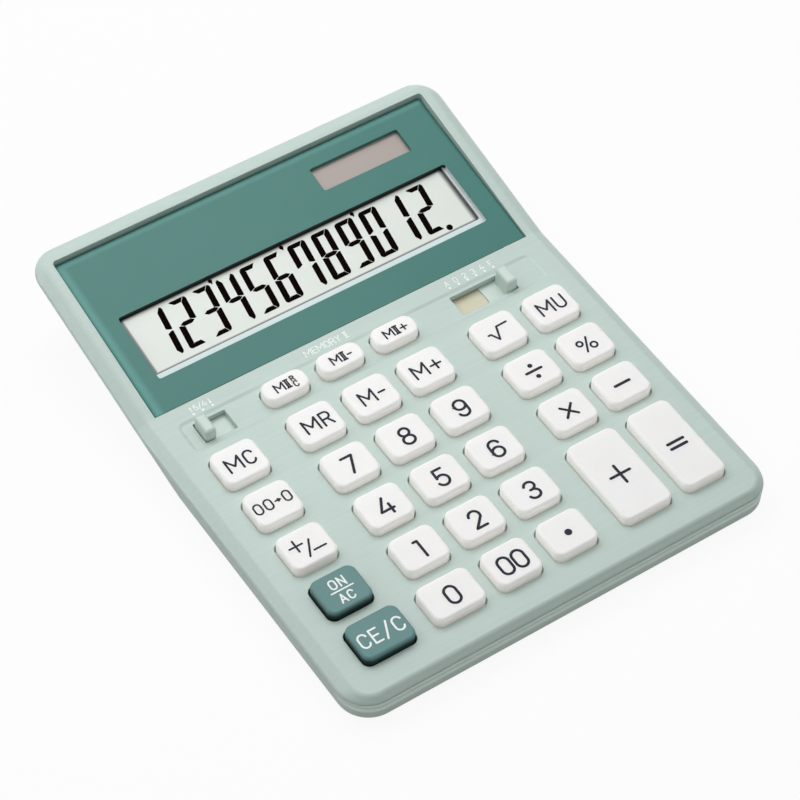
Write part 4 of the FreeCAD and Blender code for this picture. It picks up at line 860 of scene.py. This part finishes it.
# Floor, light and camera, in metres and watts
EYE_RAYS = ("Is Camera Ray", "Is Glossy Ray", "Is Transmission Ray")
PURE_WHITE = (1, 1, 1, 1)
FLOOR_HALF = 3.0
FLOOR_GREY = (0.8, 0.8, 0.8, 1)
FLOOR_ROUGH = 0.9
FLOOR_GLOSS = 0.1
FLOOR_WHITE_SHARE = 0.92
WORLD_WHITE_SHARE = 1.0
WORLD_STRENGTH = 0.32


def white_for_the_eye(tree, plain, share):
    """White for camera, glossy and transmitted rays by a share, and plain for the light that it gives."""
    path = tree.nodes.new("ShaderNodeLightPath")
    for_material = tree.nodes.get("Material Output")
    glow = tree.nodes.new("ShaderNodeEmission" if for_material else "ShaderNodeBackground")
    glow.inputs["Strength"].default_value = 1.0
    glow.inputs["Color"].default_value = PURE_WHITE
    eye = joined(tree, "MAXIMUM", *[path.outputs[ray] for ray in EYE_RAYS])
    part = tree.nodes.new("ShaderNodeMath")
    part.operation = "MULTIPLY"
    part.inputs[1].default_value = share
    tree.links.new(eye, part.inputs[0])
    mix = tree.nodes.new("ShaderNodeMixShader")
    tree.links.new(part.outputs["Value"], mix.inputs["Fac"])
    tree.links.new(plain, mix.inputs[1])
    tree.links.new(glow.outputs[0], mix.inputs[2])
    return mix.outputs["Shader"]


def make_floor():
    mesh = bpy.data.meshes.new("floor")
    half = FLOOR_HALF
    corners = [(-half, -half, 0), (half, -half, 0), (half, half, 0), (-half, half, 0)]
    mesh.from_pydata(corners, [], [(0, 1, 2, 3)])
    floor = bpy.data.objects.new("floor", mesh)
    scene.collection.objects.link(floor)
    made, tree, shader = material("floor_white")
    shader.inputs["Base Color"].default_value = FLOOR_GREY
    shader.inputs["Roughness"].default_value = FLOOR_ROUGH
    shader.inputs["Specular IOR Level"].default_value = FLOOR_GLOSS
    surface = white_for_the_eye(tree, shader.outputs["BSDF"], FLOOR_WHITE_SHARE)
    tree.links.new(surface, tree.nodes["Material Output"].inputs["Surface"])
    mesh.materials.append(made)


def make_world():
    world = bpy.data.worlds.new("studio")
    scene.world = world
    world.use_nodes = True
    tree = world.node_tree
    plain = tree.nodes["Background"]
    plain.inputs["Color"].default_value = PURE_WHITE
    plain.inputs["Strength"].default_value = WORLD_STRENGTH
    surface = white_for_the_eye(tree, plain.outputs["Background"], WORLD_WHITE_SHARE)
    tree.links.new(surface, tree.nodes["World Output"].inputs["Surface"])


def make_lamp(name, place, aim, size, power):
    light = bpy.data.lights.new(name, "AREA")
    light.shape = "RECTANGLE"
    light.size, light.size_y = size
    light.energy = power
    lamp = bpy.data.objects.new(name, light)
    lamp.location = place
    lamp.rotation_euler = (Vector(aim) - Vector(place)).to_track_quat("-Z", "Y").to_euler()
    scene.collection.objects.link(lamp)


make_floor()
make_world()
make_lamp("top_light", place=(0.0, 0.05, 1.1), aim=(0, 0, 0), size=(0.9, 0.9), power=1.6)
make_lamp("display_light", place=(0.05, 0.25, 0.5), aim=(0, 0.05, 0), size=(0.4, 0.3), power=1.1)
make_lamp("left_light", place=(-0.55, 0.55, 0.8), aim=(0, 0, 0), size=(0.9, 0.7), power=3.0)
make_lamp("right_light", place=(0.75, 0.1, 0.85), aim=(0, 0, 0), size=(0.9, 0.7), power=1.3)

# Camera solved from the key grid: its place from the top of one key in millimetres, and the picture's axes,
# both along the deck's axes
CAMERA_FROM_KEY = (-297.5, -444.73, 692.3)
PICTURE_RIGHT = Vector((0.83185, -0.55455, 0.02237))
PICTURE_FORWARD = Vector((0.36289, 0.51298, -0.77792))
SENSOR_WIDTH = 36.0
LENS = 135.21
CLIP_START, CLIP_END = 0.01, 20.0


def make_camera():
    back = -PICTURE_FORWARD.normalized()
    right = (PICTURE_RIGHT - PICTURE_RIGHT.project(back)).normalized()
    axes = Matrix((right, back.cross(right), back)).transposed().to_4x4()
    camera_data = bpy.data.cameras.new("camera")
    camera_data.sensor_width = SENSOR_WIDTH
    camera_data.lens = LENS
    camera_data.clip_start = CLIP_START
    camera_data.clip_end = CLIP_END
    camera = bpy.data.objects.new("camera", camera_data)
    place = top_plane("key_7", DECK_TILT) @ Vector(CAMERA_FROM_KEY)
    camera.matrix_world = Matrix.Translation(place) @ tilted(DECK_TILT) @ axes
    scene.collection.objects.link(camera)
    scene.camera = camera


make_camera()
scene.view_settings.view_transform = "Standard"
